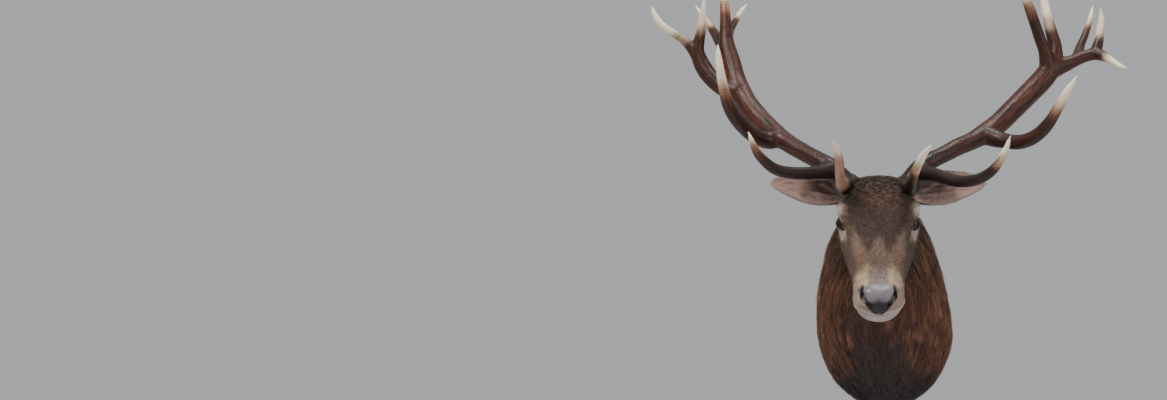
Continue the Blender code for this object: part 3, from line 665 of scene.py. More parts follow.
def markings(points):
    """The hide's colour at points on the head and neck."""
    side, along, height = head_frame(points)
    soft, fine = waves(points, 0.050, 3), waves(points, 0.016, 5)
    neck = neck_colours(points, np.abs(side), soft)
    face = face_colours(side, along, height, neck, fine)
    behind = ramp(-along, -0.02, 0.045)
    throat = ramp(mouth_line(along) - 0.035 - height, 0, 0.030) * ramp(-along, -0.30, -0.22)
    out = mix(face, neck, np.clip(behind + throat, 0, 1))
    return out * (1 + 0.10 * fine + 0.06 * soft)[:, None]


def mouth_line(along):
    """The height of the mouth's slit, by distance along the face."""
    return np.interp(along, (0.296, 0.340, 0.385, 0.430), (-0.0850, -0.0740, -0.0660, -0.0640))


# ---------------------------------------------------------------- skin

COAT_DEPTH_NECK = 0.013
COAT_DEPTH_FACE = 0.0012
FLESH = ("head", "lower_jaw", "nose_pad", "neck", "neck_base")
SKIN_SWELL = 0.0004
SKIN_VOXEL = 0.0030
# The skin ends just in front of the board's face, and the lower neck is moved to the photo's place.
SKIN_BACK = -0.0206
LOWER_NECK_SHIFT = 0.0065
# Half the opening between the lids, in radians.
LID_UPPER, LID_LOWER = 0.41, 0.31
# Where the lips begin along the face, and how wide the bare nose pad is at each height.
LIPS_BEGIN = (0.292, 0.318)
PAD_EDGE = ((-0.060, -0.055, -0.046, -0.036, -0.026, -0.016), (0.007, 0.014, 0.021, 0.0315, 0.034, 0.034))


def swollen_copy(name, amount):
    """A copy of one of the CAD's nodes, pushed out a little so that neighbours merge."""
    mesh = frame["nodes"][name].data.copy()
    shape = bmesh.new()
    shape.from_mesh(mesh)
    bmesh.ops.remove_doubles(shape, verts=shape.verts, dist=1e-6)
    shape.normal_update()
    moves = [(v, v.normal * amount) for v in shape.verts]
    for vertex, move in moves:
        vertex.co += move
    shape.to_mesh(mesh)
    shape.free()
    mesh.materials.clear()
    made = bpy.data.objects.new(name + "_copy", mesh)
    bpy.context.scene.collection.objects.link(made)
    return made


def coat_depth(points):
    """How far the coat's tips stand out from the skin."""
    along, height = head_frame(points)[1:]
    behind = ramp(-along, -0.05, 0.05)
    under = ramp(-0.085 - height, -0.01, 0.06) * ramp(-along, -0.24, -0.10)
    wall = ramp(-points[:, 1], 0.02, 0.06)
    depth = COAT_DEPTH_FACE + (COAT_DEPTH_NECK - COAT_DEPTH_FACE) * np.clip(behind + under, 0, 1)
    return depth * (0.55 + 0.45 * wall)


def refine(mesh, inside):
    """Splits the faces whose middle passes the test into four."""
    shape = bmesh.new()
    shape.from_mesh(mesh)
    shape.verts.ensure_lookup_table()
    points = np.array([v.co for v in shape.verts])
    chosen = inside(points)
    edges = [e for e in shape.edges if chosen[e.verts[0].index] and chosen[e.verts[1].index]]
    bmesh.ops.subdivide_edges(shape, edges=edges, cuts=1, use_grid_fill=True)
    shape.to_mesh(mesh)
    shape.free()
    mesh.shade_smooth()


def eye_centre(way):
    """The middle of the right (-1) or left (1) eye."""
    return world(way * EYE[0], EYE[1], EYE[2])


def eye_axes(way):
    """Out of the eye, along its corners towards the nose, and up."""
    out = unit(np.array((way * EYE_FACING[0], EYE_FACING[1], EYE_FACING[2])))
    nose = unit(FACE * 0.95 + UP * -0.10 - SIDE * way * 0.15)
    nose = unit(nose - out * (nose @ out))
    up = np.cross(nose, out) * way
    if up[2] < 0:
        up = -up
    return out, nose, up


def line_groove(points, path, width, depth):
    """A groove along a path of head points, the same on both sides, and the distance to the path."""
    side, along, height = head_frame(points)
    here = np.stack([np.abs(side), along, height], 1)
    path = np.array(path)
    best, share = np.full(len(points), 1e9), np.zeros(len(points))
    total = len(path) - 1
    for i, (a, b) in enumerate(zip(path, path[1:])):
        t = np.clip((here - a) @ (b - a) / ((b - a) @ (b - a)), 0, 1)
        away = np.linalg.norm(here - a - t[:, None] * (b - a), axis=1)
        nearer = away < best
        best = np.where(nearer, away, best)
        share = np.where(nearer, (i + t) / total, share)
    taper = np.clip(np.sin(np.pi * np.clip(share * 0.86 + 0.09, 0, 1)), 0, 1) ** 0.6
    return -depth * taper * bell(best, width, 2.4), best


# Paths of the nostril and the tear pit, as side, along and height.
NOSTRIL = [(0.0325, 0.374, -0.0190), (0.0330, 0.386, -0.0260), (0.0300, 0.394, -0.0320),
           (0.0235, 0.402, -0.0375), (0.0145, 0.408, -0.0420)]
TEAR_PIT = [(0.068, 0.188, -0.047), (0.066, 0.203, -0.049), (0.062, 0.219, -0.053)]


def skin_base():
    """One closed skin over the flesh nodes, smoothed, and set in by the coat's depth."""
    skin = joined("skin", [swollen_copy(name, SKIN_SWELL) for name in FLESH + ("eye_left", "eye_right")])
    remeshed(skin, SKIN_VOXEL)
    mesh = skin.data
    relax(mesh, 22)
    points, ways = coordinates(mesh), normals(mesh)
    set_coordinates(mesh, points - ways * coat_depth(points)[:, None])
    relax(mesh, 8)
    points = coordinates(mesh)
    points[:, 1] = np.minimum(points[:, 1], SKIN_BACK)
    points[:, 0] += LOWER_NECK_SHIFT * ramp(-points[:, 2], -0.12, 0.05) * neck_weight(points)
    set_coordinates(mesh, points)
    return skin


def face_zone(points):
    """The muzzle and the surroundings of the eyes."""
    to_eye = np.minimum(*[np.linalg.norm(points - eye_centre(way), axis=1) for way in (-1, 1)])
    return (head_frame(points)[1] > 0.285) | (to_eye < 0.046)


def nose_zone(points):
    """The nose pad and the upper lip."""
    along, height = head_frame(points)[1:]
    return (along > 0.352) & (height > -0.085)


def face_relief(points, side, along, height):
    """How far the lips, nose, tear pits and cheek ridges stand out, and the distance to the nostrils."""
    reach, mouth = np.abs(side), mouth_line(along)
    front = ramp(along, *LIPS_BEGIN)
    push = np.zeros(len(points))
    # Lips: the lower one is set in a little under the upper one.
    push += -0.0030 * bell(height - mouth, 0.0021) * front
    push += 0.0013 * bell(height - mouth - 0.0065, 0.0045) * front
    push -= 0.0016 * ramp(mouth - height, 0.0, 0.004) * ramp(height - mouth, -0.045, -0.025) * front
    # Nose pad: full between the nostrils, with a groove down its front and a rim round each nostril.
    pad = ramp(along, 0.372, 0.392) * ramp(0.033 - reach, 0, 0.012) * ramp(height, -0.060, -0.050)
    push += 0.0016 * pad
    groove = 0.0017 * bell(side, 0.0018) * ramp(-height, 0.036, 0.048) * ramp(height, -0.068, -0.060)
    push -= groove * ramp(along, 0.385, 0.395)
    rim = bell(np.hypot(reach - 0.0395, (height + 0.028) * 0.7), 0.0065)
    push += 0.0018 * rim * ramp(along, 0.360, 0.380)
    nostril, nostril_far = line_groove(points, NOSTRIL, 0.0036, 0.0105)
    push += nostril
    push += line_groove(points, TEAR_PIT, 0.0032, 0.0040)[0]
    # The cheek's ridge, and the brow over the eye.
    push += 0.0022 * spot(side, along, height, (0.066, 0.232, -0.086), (0.016, 0.040, 0.009))
    push += 0.0022 * spot(side, along, height, (0.072, 0.148, -0.020), (0.012, 0.022, 0.012))
    push += 0.0007 * waves(points, 0.030, 11) * ramp(along, 0.05, 0.15)
    return push, nostril_far


def with_sockets(points):
    """The points with room made for each eye, and how near each is to an eyelid."""
    lid_zone = np.zeros(len(points))
    for way in (-1, 1):
        out, nose, up = eye_axes(way)
        away = points - eye_centre(way)
        length = np.linalg.norm(away, axis=1)
        direction = away / length[:, None]
        a = np.arctan2(direction @ nose, direction @ out)
        b = np.arcsin(np.clip(direction @ up, -1, 1))
        off = np.hypot(a / 0.98, b / 0.52)
        inside = ramp(1.30 - off, 0, 0.18) * (direction @ out > 0)
        target = np.minimum(length, EYE_R - 0.004)
        points = points + direction * ((target - length) * inside)[:, None]
        lid_zone = np.maximum(lid_zone, ramp(1.4 - off, 0, 0.3) * (length < 0.032))
    return points, lid_zone


def paint_skin(mesh, points, head, nostril_far, lid_zone):
    """Colour, bareness and wetness of the skin; head holds the points' places before the relief."""
    side, along, height = head
    reach, mouth = np.abs(side), mouth_line(along)
    pad_edge = np.interp(height, *PAD_EDGE)
    pad_edge += 0.0012 * waves(points, 0.012, 32)
    pad = ramp(along + 0.0015 * waves(points, 0.006, 33), 0.372, 0.380) * ramp(pad_edge - reach, 0, 0.0030)
    pad = pad * ramp(height, -0.0610, -0.0575)
    lower = ramp(-height - 0.30 * reach, 0.024, 0.036)
    # The pad's top is its own grey lightened by a painted sheen; its lower part is black.
    pad_colour = mix(NOSE_SHEEN_GREY * (1 + 0.07 * waves(points, 0.01, 31))[:, None], NOSE_BLACK, lower)
    # Painted shade darkens the hollows of the nostrils.
    nostril_shade = bell(nostril_far, 0.0052, 3)
    # Painted shade darkens the crease of the mouth's slit.
    slit = bell(height - mouth, 0.0014) * ramp(along, *LIPS_BEGIN) * (1 - pad)
    lip = bell(height - mouth + 0.006, 0.008) * ramp(along, 0.36, 0.385)

    colour = mix(markings(points), pad_colour, pad)
    colour = mix(colour, NOSE_BLACK * 0.5, nostril_shade)
    colour = mix(colour, LIP * 0.45, slit)
    put(mesh, "Tint", colour, "FLOAT_COLOR")
    put(mesh, "Bare", np.clip(pad + nostril_shade + 0.6 * lip + lid_zone, 0, 1))
    put(mesh, "Wet", np.clip(pad * 1.0 + lid_zone * 0.5, 0, 1))
    put(mesh, "Lie", np.stack([points[:, 0], height, along], 1), "FLOAT_VECTOR")


def make_skin():
    """The skin of the head and neck, finer on the face, with its relief, sockets and colours."""
    skin = skin_base()
    mesh = skin.data
    refine(mesh, face_zone)
    refine(mesh, nose_zone)
    relax(mesh, 2)
    points, ways = coordinates(mesh), normals(mesh)
    head = head_frame(points)
    push, nostril_far = face_relief(points, *head)
    points, lid_zone = with_sockets(points + ways * push[:, None])
    set_coordinates(mesh, points)
    paint_skin(mesh, points, head, nostril_far, lid_zone)
    return skin


def lid_point(tree, centre, axes, t, angle):
    """A point of the lid: t is 0 at the glass and 1 out on the skin, angle runs round the eye."""
    out, nose, up = axes
    ca, sa = math.cos(angle), math.sin(angle)
    # The opening comes to a corner at the nose side and is rounder behind.
    corner = max(0, ca) ** 6
    open_a = 0.86 + 0.14 * corner
    open_b = (LID_UPPER if sa > 0 else LID_LOWER) * (1 - 0.25 * corner)
    scale = 1 + 0.95 * t ** 1.35
    a, b = ca * open_a * scale, sa * open_b * scale - 0.10 * max(0, ca) * t
    a = min(a, 1.75)
    direction = unit(out * math.cos(a) * math.cos(b) + nose * math.sin(a) * math.cos(b) + up * math.sin(b))
    if t == 0:
        return centre + direction * (EYE_R - 0.0012)
    hit = tree.ray_cast(Vector(centre + direction * 0.06), Vector(-direction), 0.06)
    surface = 0.021 if hit[0] is None else np.linalg.norm(np.array(hit[0]) - centre)
    surface = min(max(surface, EYE_R - 0.002), 0.030)
    rim = EYE_R + 0.0006 + 0.0016 * math.sin(min(1, t * 5) * math.pi / 2)
    fold = 0.0006 * math.exp(-(((t - 0.26) / 0.09) ** 2)) - 0.0012 * math.exp(-(((t - 0.46) / 0.09) ** 2))
    blend = float(ramp(np.array(t), 0.25, 0.85))
    return centre + direction * (rim * (1 - blend) + (surface - 0.0008) * blend + fold)


def lid_faces(turns, rings):
    """Quads of a ring-shaped sheet and of the sheet behind it, closed along both edges."""
    faces = []
    n = turns * rings
    for k in range(rings - 1):
        for i in range(turns):
            j = (i + 1) % turns
            a, b, c, d = k * turns + i, k * turns + j, (k + 1) * turns + j, (k + 1) * turns + i
            faces.append((a, b, c, d))
            faces.append((n + d, n + c, n + b, n + a))
    last = (rings - 1) * turns
    for i in range(turns):
        j = (i + 1) % turns
        faces.append((n + i, n + j, j, i))
        faces.append((last + i, last + j, n + last + j, n + last + i))
    return faces


def make_lids(tree):
    """A fleshy rim round each eye, from the glass out to the skin about it."""
    turns, rings = 72, 15
    angles = np.linspace(0, 2 * np.pi, turns, endpoint=False)
    made = []
    for way, name in ((-1, "lids_right"), (1, "lids_left")):
        centre, axes = eye_centre(way), eye_axes(way)
        outer = np.array([lid_point(tree, centre, axes, k / (rings - 1), angle)
                          for k in range(rings) for angle in angles])
        inner = np.array([centre + (p - centre) * (0.93 if i >= turns else 0.985)
                          for i, p in enumerate(outer)])
        points = np.concatenate([outer, inner])
        lids = mesh_object(name, points, [lid_faces(turns, rings)])
        fix_normals(lids)
        t = np.tile(np.repeat([k / (rings - 1) for k in range(rings)], turns), 2)
        along, height = head_frame(points)[1:]
        put(lids.data, "Tint", mix(LID * 0.7, markings(points), ramp(t, 0.12, 0.30)), "FLOAT_COLOR")
        put(lids.data, "Bare", 1 - ramp(t, 0.30, 0.75))
        put(lids.data, "Wet", 0.8 - 0.8 * ramp(t, 0.10, 0.35))
        put(lids.data, "Lie", np.stack([points[:, 0], height, along], 1), "FLOAT_VECTOR")
        made.append(lids)
    return made


def fix_normals(made):
    """Turns every face of a closed mesh outwards."""
    shape = bmesh.new()
    shape.from_mesh(made.data)
    bmesh.ops.recalc_face_normals(shape, faces=shape.faces)
    shape.to_mesh(made.data)
    shape.free()
    made.data.shade_smooth()


def make_eye(way, name, material):
    """A glass ball with a slight bulge in front, and where each point lies on it for the iris."""
    centre = eye_centre(way)
    out, nose, up = eye_axes(way)
    turns, rings = 64, 40
    points, faces = [centre + out * (EYE_R + 0.0006)], []
    for k in range(1, rings):
        polar = math.pi * k / rings
        bulge = 0.0006 * math.exp(-((polar / 0.75) ** 4))
        for i in range(turns):
            angle = 2 * math.pi * i / turns
            sideways = nose * math.cos(angle) + up * math.sin(angle)
            direction = out * math.cos(polar) + sideways * math.sin(polar)
            points.append(centre + direction * (EYE_R + bulge))
    points.append(centre - out * EYE_R)
    following = [(i, (i + 1) % turns) for i in range(turns)]
    triangles = [(0, 1 + i, 1 + j) for i, j in following]
    for base in range(1, 1 + (rings - 2) * turns, turns):
        faces += [(base + i, base + turns + i, base + turns + j, base + j) for i, j in following]
    last, base = len(points) - 1, 1 + (rings - 2) * turns
    triangles += [(last, base + j, base + i) for i, j in following]
    points = np.array(points)
    eye = mesh_object(name, points, [triangles, faces])
    fix_normals(eye)
    away = (points - centre) / EYE_R
    back = (away @ out < 0) * 2.0
    put(eye.data, "Spot", np.stack([away @ nose + back, away @ up, away @ out], 1), "FLOAT_VECTOR")
    eye.data.materials.append(material)
    return eye


# ---------------------------------------------------------------- ears

# Half an ear's width, and the way the left ear faces.
EAR_WIDTH = 0.0355
EAR_FACING = (0.34, -0.90, -0.22)
# Folds inside the ear: place from edge to edge, height and width.
EAR_FOLDS = ((-0.52, 0.0052, 0.12), (-0.10, 0.0040, 0.10), (0.36, 0.0048, 0.11))


def ear_axes(way):
    """An ear's root, tip, length axis, the way it faces, and across it."""
    root = world(way * EAR_ROOT[0], EAR_ROOT[1], EAR_ROOT[2])
    tip = np.array((POLL[0] + way * abs(EAR_TIP[0] - POLL[0]), EAR_TIP[1], EAR_TIP[2]))
    axis = unit(tip - root)
    face = np.array((way * EAR_FACING[0], EAR_FACING[1], EAR_FACING[2]))
    face = unit(face - axis * (face @ axis))
    return root, tip, axis, face, np.cross(axis, face) * way


def ear_point(way, t, s, inner):
    """A point of the ear from its root to its tip (t) and from edge to edge (s, -1 to 1)."""
    root, tip, axis, face, across = ear_axes(way)
    length = np.linalg.norm(tip - root)
    t, s = np.asarray(t, float), np.asarray(s, float)
    width = EAR_WIDTH * np.sin(np.pi * np.minimum(1, t * 0.92 + 0.10) ** 0.85).clip(0, 1) ** 0.62
    width = np.maximum(width, 0.0016)
    curl = np.radians(128 - 78 * np.minimum(1, t * 1.5))
    droop = 0.012 * np.sin(np.pi * t)
    radius = width / np.sin(np.minimum(curl, np.pi / 2))
    middle = root + axis * (length * 0.985 * t)[..., None] - face * droop[..., None]
    angle = curl * s
    point = middle + across * (radius * np.sin(angle))[..., None]
    point = point + face * (radius * (1 - np.cos(angle)))[..., None]
    inward = -across * np.sin(angle)[..., None] + face * np.cos(angle)[..., None]
    edge = 1 - np.abs(s)
    thick = 0.0010 + 0.0013 * np.clip(edge * 4, 0, 1) + 0.0015 * (1 - t).clip(0, 1) ** 3
    # Lengthwise folds inside the ear, deepest near its root.
    folds = np.zeros_like(t)
    for place, high, wide in EAR_FOLDS:
        folds = folds + high * bell(s - place - 0.10 * t, wide) * ramp(t, 0.08, 0.30) * ramp(-t, -0.82, -0.45)
    wave = 0.0016 * np.sin(9 * t + 3 * s) * np.abs(s) ** 3
    point = point + across * wave[..., None]
    if inner:
        return point + inward * (thick * 0.5 + folds)[..., None]
    return point - inward * (thick * 0.5 - folds * 0.2)[..., None]


def ear_faces(rows, columns):
    """Quads of the ear's inside and outside, joined all round the edge."""
    faces = []
    n = rows * columns
    for k in range(rows - 1):
        for i in range(columns - 1):
            a, d = k * columns + i, (k + 1) * columns + i
            faces.append((a, a + 1, d + 1, d))
            faces.append((n + d, n + d + 1, n + a + 1, n + a))
        for i in (0, columns - 1):
            a, d = k * columns + i, (k + 1) * columns + i
            faces.append((a, d, n + d, n + a) if i == 0 else (a, n + a, n + d, d))
    for k in (0, rows - 1):
        for i in range(columns - 1):
            a, b = k * columns + i, k * columns + i + 1
            faces.append((a, n + a, n + b, b) if k == 0 else (a, b, n + b, n + a))
    return faces


def ear_back(t):
    """The colour of the ear's back, darker at the tip."""
    return mix(EAR_BACK, EAR_BACK_TIP, ramp(t, 0.80, 1.0))


def ear_inside(t, s):
    """The inside: painted shade in its hollow and at its root, reddish veins and a pale rim."""
    hollow_shade = np.exp(-(((t - 0.34) / 0.24) ** 4) - np.abs((s + 0.05) / 0.50) ** 3)
    veins = ramp(waves(np.stack([t * 0.06, s * 0.05], 1), 0.018, 17), 0.1, 0.9)
    tint = mix(EAR_PINK, EAR_HOLLOW_SHADE, hollow_shade * 0.95)
    tint = mix(tint, EAR_PINK * 0.55, veins * 0.6)
    tint = mix(tint, EAR_RIM, ramp(np.abs(s), 0.80, 0.97))
    # Painted shade darkens the ear's root.
    return mix(tint, EAR_HOLLOW_SHADE * 1.3, ramp(-t, -0.14, 0.0) * 0.6)


def make_ear(way, name):
    """One ear as a closed, curled and folded leaf."""
    rows, columns = 64, 44
    t = np.linspace(0.0, 1.0, rows)[:, None] * np.ones((1, columns))
    s = np.ones((rows, 1)) * np.linspace(-1, 1, columns)[None]
    points = np.concatenate([ear_point(way, t, s, inner).reshape(-1, 3) for inner in (True, False)])
    ear = mesh_object(name, points, [ear_faces(rows, columns)])
    fix_normals(ear)
    t, s = np.tile(t.ravel(), 2), np.tile(s.ravel(), 2)
    inner = np.repeat((1.0, 0.0), rows * columns)
    put(ear.data, "Tint", mix(ear_back(t), ear_inside(t, s), inner), "FLOAT_COLOR")
    put(ear.data, "Bare", inner * (1 - ramp(np.abs(s), 0.7, 0.95)) * 0.85)
    put(ear.data, "Wet", np.zeros(len(t)))
    put(ear.data, "Lie", np.stack([s * 0.045, inner * 0.1, t * 0.23], 1), "FLOAT_VECTOR")
    return ear


# ---------------------------------------------------------------- antlers

def smooth_path(rows, step):
    """A curve through rows of x, y, z and radius, in steps of about the given length."""
    rows = [np.array(r) for r in rows]
    rows = [2 * rows[0] - rows[1], *rows, 2 * rows[-1] - rows[-2]]
    path = []
    for p0, p1, p2, p3 in zip(rows, rows[1:], rows[2:], rows[3:]):
        count = max(1, round(np.linalg.norm((p2 - p1)[:3]) / step))
        for i in range(count):
            t = i / count
            path.append(0.5 * (2 * p1 + (p2 - p0) * t + (2 * p0 - 5 * p1 + 4 * p2 - p3) * t**2
                               + (3 * p1 - p0 - 3 * p2 + p3) * t**3))
    path.append(rows[-2])
    return np.array(path)


def carried_frames(path):
    """At each point of a path: its direction, and two cross directions that turn as little as they can."""
    ways = unit(np.gradient(path[:, :3], axis=0))
    across = unit(np.cross(ways[0], (0.3, 0.2, 0.9)))
    rows = []
    for way in ways:
        across = unit(across - way * (across @ way))
        rows.append(across)
    across = np.array(rows)
    return ways, across, np.cross(ways, across)


def tube_mesh(name, path, sides=20):
    """A closed round tube along a path of x, y, z and radius."""
    _, across, other = carried_frames(path)
    theta = np.linspace(0, 2 * np.pi, sides, endpoint=False)
    ring = np.cos(theta)[None, :, None] * across[:, None] + np.sin(theta)[None, :, None] * other[:, None]
    points = (path[:, None, :3] + ring * path[:, None, 3:4]).reshape(-1, 3)
    rows = len(path)
    index = np.arange(rows * sides).reshape(rows, sides)
    nearer, further = index[:-1], index[1:]
    quads = np.stack([nearer, np.roll(nearer, -1, 1), np.roll(further, -1, 1), further], -1).reshape(-1, 4)
    return mesh_object(name, points, [quads, index[:1, ::-1], index[-1:]])


IVORY = srgb(246, 232, 204)
OCHRE = srgb(186, 140, 98)
REDDISH = srgb(88, 44, 26)
CHOCOLATE = srgb(40, 22, 15)
PURPLE_BLACK = srgb(28, 20, 20)
WARM_BROWN = srgb(120, 74, 48)
TAN = srgb(166, 128, 108)
BURR_GREY = srgb(58, 44, 36)
ANTLER_VOXEL = 0.0018
PEDICLE_RADIUS = 0.0185
# Rings of the burr: distance along its axis and radius.
BURR_RINGS = ((-0.012, 0.0195), (-0.007, 0.0225), (-0.002, 0.0262),
              (0.003, 0.0266), (0.008, 0.0225), (0.013, 0.0185))


def branches(side_name, tubes):
    """A tube for the beam and each tine; rows of centre line, run, way to the tip and cross directions."""
    parts, rows, labels = [], [], []
    for name, points in tubes.items():
        path = smooth_path(points, 0.006)
        steps = np.linalg.norm(np.diff(path[:, :3], axis=0), axis=1)
        run = np.concatenate([[0], np.cumsum(steps)])
        # Tines flare where they leave the beam, so that the forks are webbed.
        if name == "beam":
            path[:, 3] *= 1.07 + 0.17 * bell(run - 0.085, 0.065)
        else:
            path[:, 3] *= 1.0 + 0.34 * bell(run, 0.034)
        parts.append(tube_mesh(f"{side_name}_{name}_tube", path))
        _, across, other = carried_frames(path)
        for i in range(len(path)):
            rows.append((*path[i], run[i], run[-1] - run[i], *across[i], *other[i]))
            labels.append(name)
    return parts, np.array(rows), np.array(labels)


def burr_tubes(side_name, middle, axis):
    """The burr, a rough ring at the foot of the beam, and the pedicle that joins it to the skull."""
    ring = np.array([(*(middle + axis * d), r) for d, r in BURR_RINGS])
    foot = np.array([(*(middle + axis * d), PEDICLE_RADIUS) for d in np.linspace(-0.034, 0.0, 8)])
    return [tube_mesh(f"{side_name}_burr_tube", ring, 24), tube_mesh(f"{side_name}_pedicle_tube", foot, 24)]


def fork_weight(points, tubes):
    """1 at the forks, 0 elsewhere."""
    fork = np.zeros(len(points))
    for name, rows in tubes.items():
        if name != "beam":
            heart = np.array(rows[0][:3]) * 0.5 + np.array(rows[1][:3]) * 0.5
            fork = np.maximum(fork, bell(np.linalg.norm(points - heart, axis=1), 0.026, 4))
    return fork


def nearest_rows(points, rows):
    """The nearest centre line to each point, measured from the tube's skin, not its middle."""
    tree = point_tree(rows[:, :3])
    nearest = np.empty(len(points), int)
    for i, p in enumerate(points):
        found = tree.find_n(p, 6)
        nearest[i] = min(found, key=lambda f: f[2] - rows[f[1], 3])[1]
    return nearest


def antler_colours(side_name, points, names, to_tip, groove, on_beam, at_burr):
    """Dark grooves and worn reddish ridges, ochre and then ivory towards the tips."""
    ivory_at, ochre_at = np.array([TIPS[side_name][n] for n in names]).T
    drift = 0.010 * waves(points, 0.05, 26) + 0.004 * groove
    edge = to_tip + drift * np.clip(to_tip / 0.05, 0, 1)
    ivory = 1 - ramp(edge, ivory_at * 0.40, ivory_at * 1.50)
    ochre = 1 - ramp(edge, ivory_at * 0.8, ivory_at + ochre_at)
    dark = mix(PURPLE_BLACK, CHOCOLATE, ramp(points[:, 2], 0.34, 0.56))
    upper = ramp(points[:, 2] + 0.3 * np.abs(points[:, 0]), 0.34, 0.50)
    worn = np.clip(0.5 - 0.55 * groove, 0, 1) * (0.35 + 0.65 * upper)
    colour = mix(dark, REDDISH, worn * (0.55 + 0.45 * on_beam))
    colour = mix(colour, WARM_BROWN, ochre * 0.85)
    colour = mix(colour, OCHRE, ochre**3 * 0.9)
    colour = mix(colour, IVORY, ivory)
    if side_name == "right":
        # The photo's brow tine on this side is worn to a pale tan.
        tan = (names == "brow") * ramp(0.21 - to_tip, 0, 0.05)
        colour = mix(colour, mix(TAN, IVORY * 0.9, ramp(-to_tip, -0.06, -0.01)), tan)
        ivory = np.maximum(ivory, tan * 0.7)
    colour = mix(colour, BURR_GREY, at_burr.clip(0, 1) * 0.7)
    return colour, np.clip(np.maximum(ivory, ochre * 0.6), 0, 1)


def make_antler(side_name, tubes, material):
    """One antler: tubes merged into one skin, then grooved, pearled and coloured."""
    middle, axis = (np.array(v) for v in BURRS[side_name])
    axis = unit(axis)
    parts, rows, labels = branches(side_name, tubes)
    antler = joined(f"antler_{side_name}", [*parts, *burr_tubes(side_name, middle, axis)])
    remeshed(antler, ANTLER_VOXEL)
    mesh = antler.data
    relax(mesh, 4)
    fork = fork_weight(coordinates(mesh), tubes)
    relax(mesh, 30, 0.5, fork)
    points = coordinates(mesh) + normals(mesh) * (0.0016 * fork)[:, None]

    nearest = nearest_rows(points, rows)
    row, names = rows[nearest], labels[nearest]
    away = points - row[:, :3]
    theta = np.arctan2((away * row[:, 9:12]).sum(1), (away * row[:, 6:9]).sum(1))
    radius, run, to_tip = row[:, 3], row[:, 4], row[:, 5]
    on_beam = spread(mesh, (names == "beam").astype(float), 24)
    lie = np.stack([np.cos(theta) * radius, np.sin(theta) * radius, run], 1)
    lie[:, 2] += np.array([hash_number(n) for n in names])

    # Grooves run along the branches and fade at the tips; forks have only soft bumps.
    rough = ramp(to_tip, 0.03, 0.16) * np.clip(radius / 0.014, 0.25, 1.2)
    along = np.stack([lie[:, 0], lie[:, 1], lie[:, 2] * 0.10], 1)
    groove = waves(along, 0.0085, 21) + 0.6 * waves(along, 0.0048, 22)
    groove = groove * (1 - fork) + waves(points, 0.014, 27) * fork * 0.7
    push = (0.0010 + 0.0008 * ramp(run, 0.05, 0.14) * on_beam) * ramp(to_tip, 0.0, 0.020) + 0.0006
    push = push - 0.0011 * ramp(groove, 0.15, 1.1) * rough + 0.00055 * groove * rough
    # Pearls low on the beam, and coarser ones on the burr.
    push += 0.0012 * np.clip(waves(points, 0.0070, 23), 0, 1) * (ramp(0.15 - run, 0, 0.12) * on_beam)
    foot_near = np.linalg.norm(points - (middle + axis * 0.001), axis=1)
    at_burr = bell((points - middle) @ axis - 0.001, 0.008) * (foot_near < 0.034)
    coarse, small = np.clip(waves(points, 0.0085, 24), -0.4, 1), waves(points, 0.0045, 25)
    push += at_burr * (0.0022 * coarse + 0.0012 * small)
    push = push * (1 - fork) + spread(mesh, push, 12) * fork
    set_coordinates(mesh, points + normals(mesh) * push[:, None])
    relax(mesh, 1, 0.3)
    relax(mesh, 8, 0.5, fork)

    colour, ivory = antler_colours(side_name, points, names, to_tip, groove, on_beam, at_burr)
    put(mesh, "Tint", colour, "FLOAT_COLOR")
    put(mesh, "Ivory", ivory)
    put(mesh, "Lie", lie, "FLOAT_VECTOR")
    mesh.shade_smooth()
    mesh.materials.clear()
    mesh.materials.append(material)
    return antler


def hash_number(name):
    """A number that differs from tine to tine, so that no two share their grooves."""
    return (sum(ord(c) * (i + 1) for i, c in enumerate(name)) % 97) * 0.31


# ---------------------------------------------------------------- coat

BAKE_PATCH = 0.003
MANE_HAIRS = 33000
FACE_HAIRS = 24000
FOREHEAD_HAIRS = 5200
EAR_HAIR_SHARE = 1.0
HAIR_WIDENING = 1.0
# A density that stands for none, but is never quite zero.
NO_HAIR = 1e-9
# A vane's width along its length, and how near to the wall it may come.
VANE_PROFILE = ((0, 0.3, 0.7, 1), (0.6, 1.0, 0.72, 0))
LINE_BACK = -0.0012
VANE_BACK = -0.0008
# Height of a lock's guide and of its hairs along their length, as shares of the coat's depth.
GUIDE_LIFT = (-0.05, 0.55, 0.92, 1.02, 0.98)
HAIR_LIFT = (-0.08, 0.42, 0.74, 0.86, 0.84)
LASH_WIDTH, WHISKER_WIDTH = 0.00045, 0.00040
WHISKER_STEPS = (0, 0.33, 0.67, 1)
NECK_AXIS = unit(np.array((0.0, 0.905, -0.426)))


def nearest_on(tree, points):
    """The closest places on the skin, with the skin's normals there."""
    found = [tree.find_nearest(Vector(p)) for p in points]
    return np.array([f[0] for f in found]), np.array([f[1] for f in found])


def scatter(mesh, density, count, seed):
    """Random places on a mesh, as thick as density says at each."""
    rng = np.random.default_rng(seed)
    mesh.calc_loop_triangles()
    corners = np.empty(len(mesh.loop_triangles) * 3, np.int32)
    mesh.loop_triangles.foreach_get("vertices", corners)
    corners = corners.reshape(-1, 3)
    points = coordinates(mesh)
    a, b, c = points[corners[:, 0]], points[corners[:, 1]], points[corners[:, 2]]
    weight = np.linalg.norm(np.cross(b - a, c - a), axis=1) * density((a + b + c) / 3)
    total = np.cumsum(weight)
    chosen = np.searchsorted(total, rng.random(count) * total[-1])
    u, v = rng.random((2, count, 1))
    over = u + v > 1
    u, v = np.where(over, 1 - u, u), np.where(over, 1 - v, v)
    return a[chosen] + u * (b[chosen] - a[chosen]) + v * (c[chosen] - a[chosen])


